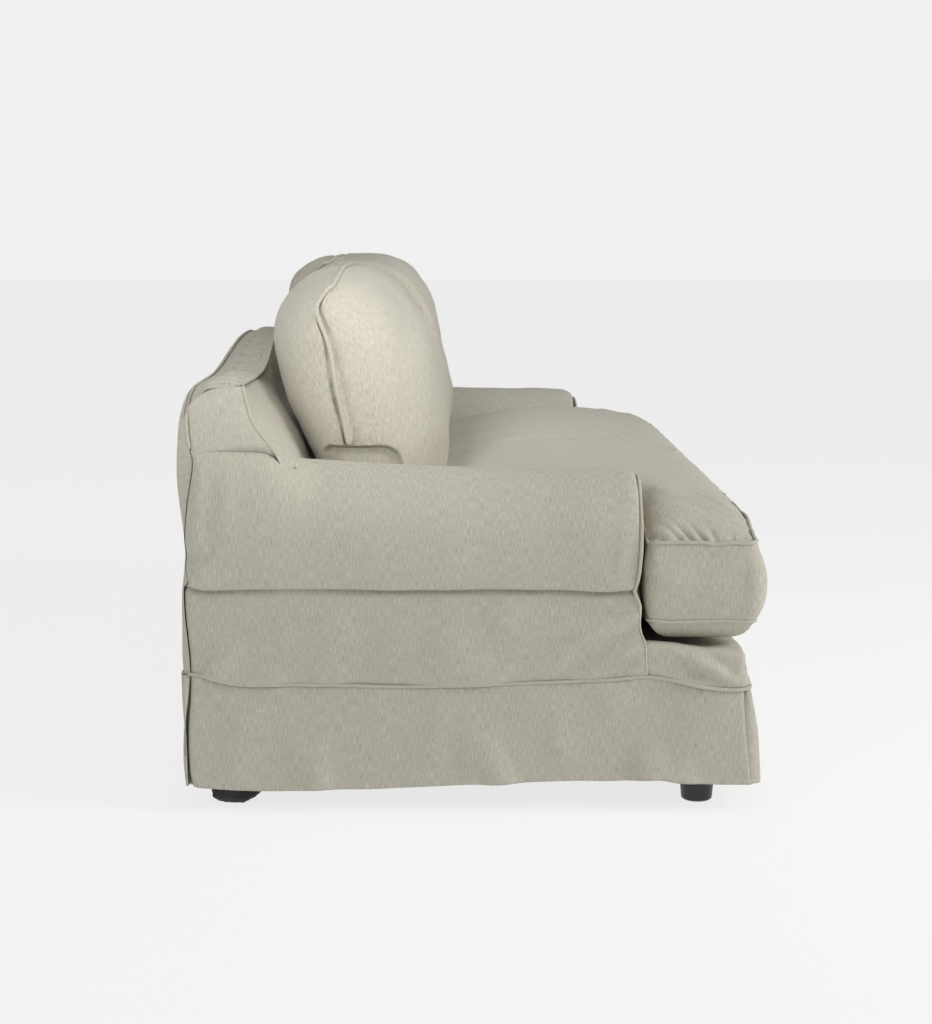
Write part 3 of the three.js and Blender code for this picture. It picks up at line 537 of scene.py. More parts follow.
def arm_surface(legs, y_end, side, seed):
    """Rows across the arm, each from the front to its own end, with the front edge rounded."""
    front = np.linspace(0, 1, 9) ** 1.5 * 0.05
    share = np.concatenate([front, np.linspace(0.05, 1, 150)[1:]])
    middle = np.minimum(0.29, y_end - 0.01)[:, None]
    near = mix(ARM_FRONT, middle, share[None, :])
    far = mix(middle, y_end[:, None], np.linspace(0, 1, 40)[None, 1:])
    y = np.concatenate([near, far], 1)
    leg = np.repeat(legs[:, None], y.shape[1], 1)
    x, z = arm_section(leg, y, side)
    from_front = y - ARM_FRONT
    y = y + (arm_front_edge(z) - ARM_FRONT) * ease(1 - from_front / 0.12)
    P = np.stack([x, y, z], -1)
    facing = normals(P)
    depth = undulation(y, leg * 0.14, 0.34, 0.0013, seed)
    depth = depth + 0.0022 * np.sin(np.pi * np.clip((leg - 1.6) / 1.4, 0, 1))
    outer = leg > 1.5
    depth = depth + outer * folds(y, z, [
        ((0.455, 0.615), (0.462, 0.44), 0.011, -0.0035),
        ((0.425, 0.615), (0.432, 0.47), 0.014, 0.0028),
        ((0.497, 0.447), (0.452, 0.4535), 0.0045, -0.0045),
        ((0.475, 0.43), (0.468, 0.395), 0.012, 0.004),
        ((-0.272, 0.54), (-0.262, 0.40), 0.007, -0.0025),
        ((-0.25, 0.5), (-0.235, 0.392), 0.010, 0.002),
        ((-0.28, 0.395), (-0.20, 0.41), 0.007, 0.0025),
    ])
    depth = depth + outer * puckers(y, np.abs(z - roll_seam(y)), 0.034, 0.012, 0.0009, seed + 2)
    depth = kept_out(depth)
    depth = depth - 0.0035 * (1 - round_edge(from_front / 0.010))
    closing = outer * (y_end[:, None] > 0.4) * (1 - round_edge((y_end[:, None] - y) / 0.022))
    P[..., 0] -= closing * np.maximum(x - rear_corner(z), 0)
    to_arch = np.hypot(np.maximum(0, y - y_end[:, None]), (leg - 1 - ARCH_TURN) * 0.13)
    depth = depth + np.where(y > 0.315, groove(to_arch), 0) + outer * groove(z - roll_seam(y))
    return P + facing * depth[..., None]


def arm_cover(side):
    """The roll and its inner face. Rows inside the arch seam end in the inside back, the rest at the rear."""
    arch_leg = 1 + ARCH_TURN
    inner_legs = np.concatenate([np.linspace(0, 1, 26)[:-1], np.linspace(1, arch_leg, 52)])
    outer_legs = np.concatenate([np.linspace(arch_leg, 2, 22)[:-1], np.linspace(2, 3, 26)])
    _, z_at_back = arm_section(inner_legs, np.full(len(inner_legs), 0.3), side)
    inner = arm_surface(inner_legs, inside_back(z_at_back) + 0.02, side, 11)
    outer_ends = np.full(len(outer_legs), REAR)
    _, z_rear = arm_section(outer_legs, outer_ends, side)
    outer = arm_surface(outer_legs, rear_edge(z_rear), side, 11)
    parts = [panel(inner), panel(outer)]
    obj = build(f"arm_roll_{side}", on_side(parts, side), LINEN, "sofa_frame", weld=True)
    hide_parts(f"arm_cover_{side}", f"arm_pad_{side}")


def front_outline(side, inset=0.0):
    """The arm's outline at its front, (x, z): up the inner face, over the roll, down to the skirt."""
    legs = np.concatenate([np.linspace(0, 1, 20)[:-1], np.linspace(1, 2, 60)[:-1], np.linspace(2, 3, 16)])
    roll = np.stack(arm_section(legs, np.full(len(legs), ARM_FRONT), side), 1)
    down = np.stack([np.full(12, SIDE), np.linspace(ROLL_SEAM, 0.236, 13)[1:]], 1)
    outline = np.vstack([roll, down])
    outline[:, 0] += inset * np.sign(ARM_MIDDLE - outline[:, 0])
    return outline


def arm_front(side):
    """The flat, lightly padded face of the arm: y = front - bulge * round(across) * round(up)."""
    outline = front_outline(side, 0.003)
    top = np.argmax(outline[:, 1])
    inner, outer = outline[:top + 1], outline[top:][::-1]
    level = mix(0.262, outline[top, 1], np.sin(np.linspace(0, np.pi / 2, 70)))
    x_in = np.interp(level, inner[:, 1], inner[:, 0])
    x_out = np.interp(level, outer[:, 1], outer[:, 0])
    across = closer_at_ends(44)[:, None]
    x = mix(x_in, x_out, across)
    z = np.repeat(level[None], 44, 0)
    to_edge = np.minimum(np.minimum(x - x_in, x_out - x), outline[top, 1] - z)
    base = mix(ARM_FRONT, arm_front_edge(z), ease((across - 0.6) / 0.4))
    y = base - 0.004 * round_edge(to_edge / 0.035) + undulation(x, z, 0.2, 0.0012, 31)
    edge = front_outline(side)
    path = np.stack([edge[:, 0], arm_front_edge(edge[:, 1]), edge[:, 1]], 1)
    rounder = ease((path[:, 0] - ARM_IN) / 0.2)
    path[:, 1] = mix(ARM_FRONT, path[:, 1], rounder) - 0.001
    parts = [panel(np.stack([x, y, z], -1)), welt(resampled(path, 240), PIPING)]
    obj = build(f"arm_face_{side}", on_side(parts, side), LINEN, "sofa_frame")
    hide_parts(f"arm_front_panel_{side}")


# Panels below the arms, the base's border and the deck


def side_panel(side):
    """The plain panel between the roll's seam and the skirt, pulled into slack folds near the front."""
    share = np.linspace(0, 1, 46)[:, None]
    along = np.linspace(0, 1, 190)[None, :]
    rear = 0.497
    y = mix(ARM_FRONT - 0.002, rear, along) + 0 * share
    z = mix(roll_seam(y) + 0.006, skirt_line(y) - 0.002, share)
    from_rear = rear - y
    y = y + (rear_edge(z) - rear) * ease((y - 0.40) / 0.09)
    y = y + (arm_front_edge(z) - ARM_FRONT + 0.002) * ease(1 - (y - ARM_FRONT) / 0.06)
    slack = 0.003 * np.sin(np.pi * share) + undulation(y, z, 0.30, 0.0030, 51)
    slack = slack + folds(y, z, [
        ((-0.277, 0.345), (-0.12, 0.285), 0.012, 0.0075),
        ((-0.272, 0.318), (-0.15, 0.262), 0.009, -0.0060),
        ((-0.265, 0.372), (-0.05, 0.33), 0.013, -0.0055),
        ((-0.279, 0.29), (-0.18, 0.245), 0.010, 0.007),
        ((-0.275, 0.265), (-0.20, 0.238), 0.008, -0.0055),
        ((0.488, 0.36), (0.30, 0.35), 0.018, -0.006),
        ((0.478, 0.245), (0.40, 0.29), 0.012, 0.006),
        ((0.485, 0.28), (0.36, 0.315), 0.015, 0.005),
        ((0.25, 0.30), (-0.02, 0.27), 0.03, 0.004),
    ])
    x = SIDE + kept_out(slack) + groove(np.maximum(roll_seam(y) - z, 0), 0.006, 0.005)
    x = x - 0.003 * (1 - round_edge(from_rear / 0.007))
    parts = [panel(np.stack([x, y, z], -1))]
    obj = build(f"side_cloth_{side}", on_side(parts, side), LINEN, "sofa_frame")
    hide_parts(f"side_panel_{side}")


def base_plan(inset, count=420):
    """The base's outline in plan from the left arm round the front to the right arm, with rounded corners."""
    corner = 0.009
    x = SIDE - inset
    front = BASE_FRONT + inset
    turn = np.linspace(0, np.pi / 2, 9)
    right = np.stack([x - corner + corner * np.sin(turn), front + corner - corner * np.cos(turn)], 1)
    right = np.vstack([right, [[x, ARM_FRONT + 0.02]]])
    return resampled(np.vstack([right[::-1] * (-1, 1), right]), count)


def base_flare(y):
    """How far the base's cover stands out at its foot, from nothing at the arm to full at the front."""
    return 0.009 * ease((ARM_FRONT - y) / 0.12)


def base_cover():
    """The border round the base in front of the arms: over the deck's edge and down to the skirt."""
    outer = base_plan(0)
    inner = base_plan(0.075)
    rounding = 0.010
    edge_in = base_plan(rounding)
    near_side = ease((np.abs(outer[:, 0]) - 0.95) / 0.07)
    y = outer[:, 1]
    top = mix(BASE_TOP + 0.002, 0.279 + 0.014 * ease((y + 0.44) / 0.14), near_side)
    scalloped = FRONT_SKIRT_TOP - 0.001 + BORDER_SCALLOP * np.sin(outer[:, 0] * SCALLOPS)
    bottom = mix(scalloped, skirt_line(y), near_side)
    rows = []
    for share in np.linspace(0, 1, 8):
        plan = mix(inner, edge_in, share)
        rows.append(np.column_stack([plan, mix(BASE_TOP, top, ease(share * 1.4))]))
    for angle in np.linspace(0, np.pi / 2, 7)[1:]:
        plan = mix(edge_in, outer, np.sin(angle))
        rows.append(np.column_stack([plan, top - rounding * (1 - np.cos(angle))]))
    for share in np.linspace(0, 1, 22)[1:]:
        rows.append(np.column_stack([outer, mix(top - rounding, bottom, share)]))
    P = np.array(rows)
    side_y, height = P[..., 1], P[..., 2]
    depth = undulation(P[..., 0] * 0.7 + side_y, height, 0.22, 0.0016, 71)
    depth = depth + near_side[None, :] * folds(side_y, height, [
        ((-0.455, 0.226), (-0.33, 0.283), 0.009, 0.007),
        ((-0.45, 0.245), (-0.38, 0.285), 0.007, -0.006),
        ((-0.43, 0.219), (-0.30, 0.262), 0.009, -0.0065),
        ((-0.40, 0.219), (-0.295, 0.243), 0.008, 0.006),
        ((-0.35, 0.29), (-0.292, 0.25), 0.008, 0.004),
        ((-0.462, 0.262), (-0.42, 0.235), 0.006, -0.004),
    ])
    into_foot = np.clip((0.280 - height) / 0.058, 0, 1) ** 1.4
    P = pushed(P, kept_out(depth) + base_flare(side_y) * into_foot)
    obj = build("base_border", [panel(P)], LINEN, "sofa_frame")
    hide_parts("front_border")
    return P[-1]


def seat_deck():
    """The flat deck under the cushions, slightly crowned over the springs between its edges."""
    x = np.linspace(-ARM_IN - 0.004, ARM_IN + 0.004, 130)[:, None]
    y = np.linspace(BASE_FRONT + 0.012, inside_back(DECK_TOP) + 0.01, 70)[None, :]
    z = DECK_TOP - 0.004 + 0.0035 * np.sin(np.pi * np.linspace(0, 1, 70))[None, :] + 0 * x
    z = z + undulation(x, y, 0.4, 0.0006, 81)
    parts = [panel(grid(x, y, z))]
    ear_x = np.linspace(ARM_IN - 0.01, SIDE - 0.03, 30)[:, None]
    ear_y = np.linspace(BASE_FRONT + 0.03, ARM_FRONT + 0.01, 30)[None, :]
    rise = 0.012 * ease((ear_x - 0.9) / 0.12) * ease((ear_y + 0.44) / 0.14)
    ear = panel(grid(ear_x, ear_y, DECK_TOP - 0.0015 + rise))
    parts += [ear, mirrored(ear)]
    obj = build("seat_deck", parts, DECK_LINEN, "sofa_frame")
    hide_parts("seat_deck_pad")


# Skirt


def skirt_run(name, plan, top, hem, standoff, seed, replaced, edges):
    """A skirt panel hung from its piping, along a plan that runs anticlockwise. Down it, share s, it stands
    off by (sideways, lengthways) * (1 - (1 - s)^1.6), and soft flutes grow with s between its ends."""
    tangent = np.gradient(plan, axis=0)
    tangent /= np.linalg.norm(tangent, axis=1, keepdims=True)
    out = np.stack([tangent[:, 1], -tangent[:, 0]], 1)
    share = np.linspace(0, 1, 40)[:, None]
    hang = 1 - (1 - share) ** 1.6
    along = np.concatenate([[0], np.cumsum(np.linalg.norm(np.diff(plan, axis=0), axis=1))])[None]
    to_end = np.minimum(along, along[0, -1] - along)
    flute = undulation(along, 0.12 * share, 0.26, 0.0048, seed) * share ** 1.2 * ease(to_end / 0.06)
    flute = flute + undulation(along, share * 0.18, 0.2, 0.0012, seed + 1) * ease(to_end / 0.03)
    turned_in = (0.003 + 0.004 * hang) * (1 - round_edge(to_end / 0.008))
    off = hang[..., None] * standoff + (kept_out(flute) - turned_in)[..., None]
    z = mix(top[None], hem[None], share)
    xy = plan[None] + out[None] * off
    xy[..., 1] += edges(plan[None, :, 1], z, share)
    P = np.concatenate([xy, z[..., None]], -1)
    obj = build(name, [panel(P)], LINEN, "sofa_frame")
    thickened(obj, SKIRT_CLOTH)
    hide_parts(replaced)


def side_edges(y, z, share):
    """The side skirt's front edge swings forward at its foot, and its rear edge follows the rear seam."""
    front = -HEM_FORWARD * share ** 1.3 * ease(1 - (y - FRONT_PLEAT) / 0.10)
    return front + (rear_edge(z) - REAR_PLEAT) * ease((y - 0.43) / (REAR_PLEAT - 0.43))


def front_edges(y, z, share):
    """The returns of the front skirt swing forward with the side skirt's edge."""
    return -HEM_FORWARD * share ** 1.3 * ease((y - FRONT_PLEAT + 0.008) / 0.004)


def rear_edges(y, z, share):
    """The returns of the rear skirt follow the rear seam."""
    return (rear_edge(z) - REAR_PLEAT) * ease((REAR_PLEAT + 0.008 - y) / 0.006)


def wrapped_plan(half, y, turned):
    """A straight run in plan from one side to the other. At both ends it turns a small corner, runs back to
    the pleat and dips behind the side skirt there."""
    corner = 0.004
    turn = np.linspace(0, np.pi / 2, 9)
    towards = np.sign(turned - y)
    bend = np.stack([half - corner + corner * np.cos(turn), y + towards * corner * (1 - np.sin(turn))], 1)
    dip = [[half - 0.010, turned + towards * 0.010],
           [half - 0.009, turned],
           [half - 0.002, turned - towards * 0.0015]]
    path = np.vstack([dip, bend])
    return resampled(np.vstack([path, path[::-1] * (-1, 1)]), 900)


def skirts():
    """Four hung panels. The front and rear ones turn the corners, and the side ones lap them there."""
    side_standoff, front_standoff, rear_standoff = (0.009, 0.009), (0.009, 0.0215), (0.009, -0.006)
    y = np.linspace(FRONT_PLEAT, REAR_PLEAT, 230)
    for side in BOTH:
        sign = 1 if side == "right" else -1
        plan = np.column_stack([sign * (SIDE + 0.001 + base_flare(y)), y])[::sign]
        skirt_run(f"skirt_side_{side}", plan, skirt_line(plan[:, 1]) + 0.001, hem_line(plan[:, 1]),
                  side_standoff, 91, f"side_skirt_{side}", side_edges)
    front = wrapped_plan(SIDE + 0.0085, BASE_FRONT - 0.008, FRONT_PLEAT)[::-1]
    near_corner = ease((np.abs(front[:, 0]) - 0.95) / 0.08)
    front_top = mix(FRONT_SKIRT_TOP + BORDER_SCALLOP * np.sin(front[:, 0] * SCALLOPS), 0.2165, near_corner)
    front_hem = FRONT_HEM + 0.003 * np.sin(front[:, 0] * 7)
    skirt_run("skirt_front", front, front_top, front_hem, front_standoff, 95,
              "front_skirt", front_edges)
    rear = wrapped_plan(SIDE + 0.0005, REAR + 0.011, REAR_PLEAT + 0.001)
    level = np.ones(len(rear))
    skirt_run("skirt_rear", rear, REAR_SKIRT_TOP * level, REAR_HEM * level, rear_standoff, 99,
              "rear_skirt", rear_edges)


def skirt_flaps():
    """Behind each corner pleat a flap closes the gap: a short L in plan."""
    share = np.linspace(0, 1, 14)[:, None]
    ends = (("front", BASE_FRONT + 0.003, 1, 0.064), ("rear", REAR - 0.006, -1, 0.055))
    for end, place, towards, hem in ends:
        corner = np.array([SIDE - 0.008, place])
        plan = resampled(np.array([corner + (0, 0.07 * towards), corner, corner - (0.07, 0)]), 26)
        out = np.tile((1.0, -towards), (26, 1)) / np.sqrt(2)
        z = mix(0.222, hem, share) + np.zeros((1, 26))
        xy = plan[None] + out[None] * (0.006 * share ** 1.3)[..., None]
        P = np.concatenate([xy, z[..., None]], -1)
        if end == "front":
            P = P[:, ::-1]
        for side in BOTH:
            obj = build(f"skirt_flap_{end}_{side}", on_side([panel(P)], side), LINEN, "sofa_frame")
            thickened(obj, LINING_CLOTH)


def skirt_piping(border_line):
    """One piped line round the whole base, between the covers and the skirt."""
    ys = np.linspace(ARM_FRONT + 0.02, 0.494, 130)
    right = np.column_stack([np.full_like(ys, SIDE + 0.0015), ys, skirt_line(ys) + 0.001])
    left = right[::-1] * (-1, 1, 1)
    xs = np.linspace(SIDE, -SIDE, 200)
    rear = np.column_stack([xs, np.full_like(xs, REAR + 0.0115), np.full_like(xs, REAR_SKIRT_TOP)])
    front = border_line * (1.0015, 1.0015, 1)
    path = np.vstack([front[:-1], right[1:], rear[1:-1], left[:-1]])
    loop = resampled(np.vstack([path, path[:1]]), 1150)[:-1]
    build("skirt_piping", [welt(loop, PIPING, closed=True)], LINEN, "sofa_frame")


# Back


def back_top(x, share):
    """The top band: z = rear line + (front line - rear line) * sqrt(share) + a small crown, share from the
    rear piping (0) to the front piping (1)."""
    leaning = inside_back(camel_front(x))
    front_y = mix(leaning, leaning - 0.004, ease((np.abs(x) - 0.97) / 0.06))
    y = mix(0.4945, front_y, share)
    z = camel(x) + (camel_front(x) - camel(x)) * share ** 0.32 + 0.006 * np.sin(np.pi * share)
    return y, z


def pulled_wrinkles(x, share):
    """Wrinkles across the band, where the slipcover is pulled over it: uneven, slightly slanted valleys."""
    rng = np.random.default_rng(114)
    total = 0
    for place in np.linspace(-BACK_END, BACK_END, 46):
        middle = place + rng.uniform(-0.016, 0.016) + rng.uniform(-0.035, 0.035) * share
        strength = np.sin(np.pi * np.clip(share * rng.uniform(0.8, 1.1) + rng.uniform(0, 0.1), 0, 1)) ** 0.6
        deepest = rng.uniform(0.004, 0.014)
        width = rng.uniform(0.005, 0.012)
        total = total - deepest * strength * np.exp(-((x - middle) / width) ** 2)
    return total


def top_band():
    """The band over the back's top edge, wrinkled where no rail lies close under it."""
    x = np.linspace(BACK_END - 0.0005, -BACK_END + 0.0005, 420)[:, None]
    share = np.linspace(0, 1, 34)[None, :]
    y, z = back_top(x, share)
    P = grid(x, y, z)
    depth = 0.006 + pulled_wrinkles(x, share) + undulation(x, y * 0.3, 0.16, 0.0012, 112)
    over_rail = ease((0.42 - share) / 0.15)
    depth = kept_out(depth - 0.004 * over_rail, mix(-0.005, 0.0005, over_rail))
    P = pushed(P, -depth * np.clip(share * 9, 0, 1) * ease((1 - share) * 4))
    obj = build("back_band", [panel(P[::-1])], LINEN, "sofa_frame")
    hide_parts("back_top_band")


def inside_back_cover():
    """The padded inside face: y = plane(z) with its two ends rounded back to the side seams."""
    x = np.linspace(-BACK_END, BACK_END, 300)[:, None]
    share = np.linspace(0, 1, 80)[None, :]
    z = mix(0.268, camel_front(x), share)
    end_round = 0.05
    into_end = np.clip((np.abs(x) - (BACK_END - end_round)) / end_round, 0, 1)
    rounded = 1 - np.sqrt(1 - into_end ** 2)
    end_line = np.where(z > 0.6, side_front_edge(z), side_front_edge(0.6) + BACK_LEAN * (z - 0.6))
    y = mix(inside_back(z), end_line, rounded)
    y = y + undulation(x, z, 0.3, 0.003, 121) * (1 - rounded) + 0.012 * (1 - round_edge((1 - share) / 0.05))
    obj = build("back_face", [panel(grid(x, y, z))], LINEN, "sofa_frame")
    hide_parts("inside_back_cover", "back_pad")


arch_line = profile([(0.335, 0.621), (0.343, 0.6255), (0.363, 0.633), (0.389, 0.6365), (0.43, 0.6325),
                     (0.481, 0.6235), (0.51, 0.621)])


def back_end_panel(side):
    """The side of the back over the arm, between the front seam, the rear seam and the arch."""
    down = np.linspace(0, 1, 40)[:, None]
    along = np.linspace(0, 1, 50)[None, :]
    low_y = mix(0.343, 0.4825, along)
    _, top_z = back_top(np.full_like(along, BACK_END), 1 - along)
    low_z = arch_line(low_y) - 0.024
    z = mix(top_z, low_z, down)
    y = mix(side_front_edge(z), rear_edge(z), along)
    to_edge = np.minimum(np.minimum(along, 1 - along) * 0.12, down * 0.14)
    slack = undulation(y, z, 0.16, 0.0012, 131) + folds(y, z, [
        ((0.39, 0.715), (0.46, 0.64), 0.012, 0.002),
        ((0.48, 0.70), (0.44, 0.64), 0.010, -0.002),
    ])
    x = BACK_END + 0.001 + kept_out(slack) - 0.005 * (1 - round_edge(to_edge / 0.012))
    x = x - 0.6 * np.clip(arch_line(y) + 0.001 - z, 0, 1)
    P = np.stack([x, y, z], -1)
    front = P[:, 0] + (0.001, -0.001, 0)
    parts = [panel(P), welt(resampled(front, 50), PIPING)]
    obj = build(f"back_end_{side}", on_side(parts, side), LINEN, "sofa_frame")
    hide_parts(f"back_side_panel_{side}")


def outer_back():
    """The rear panel, slightly slack between its seams."""
    place = np.sin(np.linspace(np.pi / 2, -np.pi / 2, 300))[:, None]
    share = np.linspace(0, 1, 130)[None, :]
    z = mix(0.236, camel(BACK_END * place) - 0.001, share)
    end = rear_corner(z)
    x = end * place
    across = np.clip((end - np.abs(x)) / 0.012, 0, 1)
    edge_y = rear_edge(z) + 0.0015
    loose = 0.004 * np.sin(np.pi * share) ** 0.5
    y = mix(edge_y, REAR + 0.009 + loose, round_edge(np.minimum(across, (camel(x) - z) / 0.02)))
    y = y + undulation(x, z, 0.5, 0.004, 141) * round_edge(across) * np.sin(np.pi * share)
    obj = build("back_panel", [panel(grid(x, y, z))], LINEN, "sofa_frame")
    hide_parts("outer_back_panel")


def back_piping():
    """Piping along the rear top edge, down its two ends, and along the front edge of the top band."""
    x = np.linspace(-BACK_END, BACK_END, 420)
    y, z = back_top(x, np.zeros_like(x))
    rear = np.column_stack([x, y + 0.002, z + 0.0015 + 0.0006 * np.sin(x * 23)])
    end = np.array([[BACK_END + 0.001, rear_edge(h) + 0.0005, h] for h in (0.675, 0.655, 0.63)])
    rear = np.vstack([end[::-1] * (-1, 1, 1), rear, end])
    y, z = back_top(x, np.ones_like(x))
    front = np.column_stack([x, y - 0.001, z + 0.0005])
    parts = [welt(resampled(rear, 520), PIPING), welt(resampled(front, 420), BAND_PIPING)]
    build("back_piping", parts, LINEN, "sofa_frame")


# Cushions


# Plan of a right-hand seat cushion: a T with its ear in front of the arm
SEAT_INNER = 0.0065
SEAT_ARM_SIDE = 0.786
SEAT_OUTER = 1.022
SEAT_FRONT = -0.482
SEAT_EAR_REAR = -0.294
SEAT_REAR = 0.172
SEAT_CORNER = 0.045
SEAT_FRONT_CORNER = 0.018
SEAT_EAR_CORNER = 0.014
SEAT_ARM_CORNER = 0.02
# Heights of its two piped edges
SEAT_PIPING = 0.467
SEAT_LOW_PIPING = 0.330


def seat_edges(inset=0.0):
    """The plan as two chains with matching counts: along the front, and along the rear, arm and ear."""
    inner, arm, outer = SEAT_INNER + inset, SEAT_ARM_SIDE - inset, SEAT_OUTER - inset
    front, ear, rear = SEAT_FRONT + inset, SEAT_EAR_REAR - inset, SEAT_REAR - inset
    left, right, forward, back = (-1, 0), (1, 0), (0, -1), (0, 1)
    turn = np.linspace(0, np.pi / 2, 8)[:, None]

    def arc(center, start, end, radius):
        """A quarter round about its centre, from one direction to the next."""
        return np.array(center) + radius * (np.array(start) * np.cos(turn) + np.array(end) * np.sin(turn))

    along_front = np.vstack([
        arc((inner + SEAT_CORNER, front + SEAT_CORNER), left, forward, SEAT_CORNER),
        arc((outer - SEAT_FRONT_CORNER, front + SEAT_FRONT_CORNER), forward, right, SEAT_FRONT_CORNER)])
    behind = np.vstack([
        arc((inner + SEAT_CORNER, rear - SEAT_CORNER), left, back, SEAT_CORNER),
        arc((arm - SEAT_CORNER, rear - SEAT_CORNER), back, right, SEAT_CORNER),
        arc((arm + SEAT_ARM_CORNER, ear + SEAT_ARM_CORNER), left, forward, SEAT_ARM_CORNER),
        arc((outer - SEAT_EAR_CORNER, ear - SEAT_EAR_CORNER), back, right, SEAT_EAR_CORNER)])
    return along_front, behind


def closed_plan(inset=0.0, count=560):
    """The whole plan, anticlockwise from above, as a closed loop of even steps."""
    front, back = seat_edges(inset)
    loop = np.vstack([front, back[::-1]])
    return resampled(np.vstack([loop, loop[:1]]), count + 1)[:-1]


def nearest_on(loop, x, y):
    """Distance from each point to the closed loop, and how far along the loop that place is."""
    step = np.roll(loop, -1, 0) - loop
    length = np.linalg.norm(step, axis=1)
    start = np.concatenate([[0], np.cumsum(length)])[:-1]
    flat = np.column_stack([x.ravel(), y.ravel()])
    best = np.full(len(flat), 9.0)
    where = np.zeros(len(flat))
    for corner, edge, run, passed in zip(loop, step, length, start):
        share = np.clip(((flat - corner) @ edge) / run ** 2, 0, 1)
        away = np.linalg.norm(flat - corner - share[:, None] * edge, axis=1)
        closer = away < best
        best[closer] = away[closer]
        where[closer] = passed + share[closer] * run
    return best.reshape(x.shape), where.reshape(x.shape)


def plan_grid(n, m):
    """A grid over the plan: straight lines from the front chain to the rear chain, closer at the edges."""
    front, back = seat_edges(0)
    u = mix(np.linspace(0, 1, n), closer_at_ends(n), 0.7)
    v = mix(np.linspace(0, 1, m), closer_at_ends(m), 0.75)

    def at(chain, shares):
        """The points at these shares of a chain's length."""
        dense = resampled(chain, 900)
        return np.stack([np.interp(shares, np.linspace(0, 1, 900), dense[:, k]) for k in (0, 1)], 1)

    low, high = at(front, u), at(back, u)
    return mix(low[:, None], high[:, None], v[None, :, None])


def piping_height(x):
    """The top piping of a seat cushion, which the filling lifts away from the ear."""
    return SEAT_PIPING + 0.025 * ease((1.005 - x) / 0.14)


def seat_crown(x, y, away):
    """Height over the top piping: a full dome, lower over the ear and towards the rear, with a soft edge."""
    from_front = np.clip((y - SEAT_FRONT) / 0.25, 0, 1)
    from_inner = np.clip((x - SEAT_INNER) / 0.26, 0, 1)
    from_outer = np.clip((SEAT_OUTER - x) / 0.62, 0, 1)
    front = 0.34 + 0.66 * (1 - (1 - from_front) ** 2)
    across = (0.60 + 0.40 * (1 - (1 - from_inner) ** 2)) * (0.30 + 0.70 * (1 - (1 - from_outer) ** 2))
    rear = mix(1.0, 0.30, ease((y + 0.160) / 0.260))
    reach = mix(0.009, 0.085, ease((x - SEAT_INNER) / 0.10))
    edge = (1 - (1 - np.clip(away / reach, 0, 1)) ** 2.6) ** 0.62
    return 0.075 * front * across * rear * edge


def ear_gathers(x, y):
    """Six little gathers over the ear's piping, where the crown is eased into the seam: place, slant, width
    and depth. The first one is shallow."""
    depth = 0
    for place, slant, width, most in ((-0.437, 0.1, 0.006, 0.002), (-0.411, -0.2, 0.0065, 0.0052),
                                      (-0.392, -0.4, 0.005, 0.0058), (-0.371, -0.5, 0.0055, 0.0062),
                                      (-0.351, -0.6, 0.006, 0.0052), (-0.322, -0.9, 0.009, 0.0040)):
        inwards = np.clip(SEAT_OUTER - x, 0, 1)
        line = place - slant * inwards
        grown = inwards / 0.014 * np.exp(1 - inwards / 0.014)
        depth = depth - most * grown * np.exp(-((y - line) / width) ** 2)
    return depth


def seat_top(seed):
    """The crowned top inside the upper piping: z = piping + crown, with gathers along the seam. Gives its
    plan too, for the weave."""
    plan = plan_grid(250, 150)
    x, y = plan[..., 0], plan[..., 1]
    away, along = nearest_on(closed_plan(count=280), x, y)
    crown = seat_crown(x, y, away)
    crown = crown + undulation(x, y, 0.34, 0.0020, seed) * np.clip(away / 0.05, 0, 1)
    crown = crown + puckers(along, away, 0.045, 0.030, 0.0034, seed + 1)
    crown = crown - 0.004 * np.exp(-((away - 0.005) / 0.004) ** 2)
    crown = crown + np.clip(away / 0.02, 0, 1) * folds(x, y, [
        ((0.84, -0.32), (0.93, -0.43), 0.016, -0.004),
        ((0.78, -0.40), (0.90, -0.46), 0.014, 0.004),
        ((0.74, -0.28), (0.86, -0.36), 0.018, 0.004),
        ((0.30, -0.46), (0.34, -0.36), 0.014, -0.003),
        ((0.60, -0.47), (0.57, -0.38), 0.012, -0.003),
    ])
    top = np.stack([x, y, piping_height(x) + np.maximum(crown, 0)], -1)
    return pushed(top, ear_gathers(x, y)), plan


def seat_underside(seed):
    """The underside: from the lower piping it sinks onto the deck, z = piping - depth * edge(away), and less
    deep under the ear. Gives its plan too."""
    plan = plan_grid(150, 90)
    x, y = plan[..., 0], plan[..., 1]
    away, along = nearest_on(closed_plan(count=280), x, y)
    ear = ease((x - 0.80) / 0.08)
    depth = mix(SEAT_LOW_PIPING - SEAT_BOTTOM, 0.037, ear)
    edge = (1 - (1 - np.clip(away / 0.058, 0, 1)) ** 2.4) ** 0.8
    sink = depth * edge - puckers(along, away, 0.05, 0.02, 0.002, seed) * ear
    return np.stack([x, y, SEAT_LOW_PIPING - np.clip(sink, 0, depth)], -1), plan


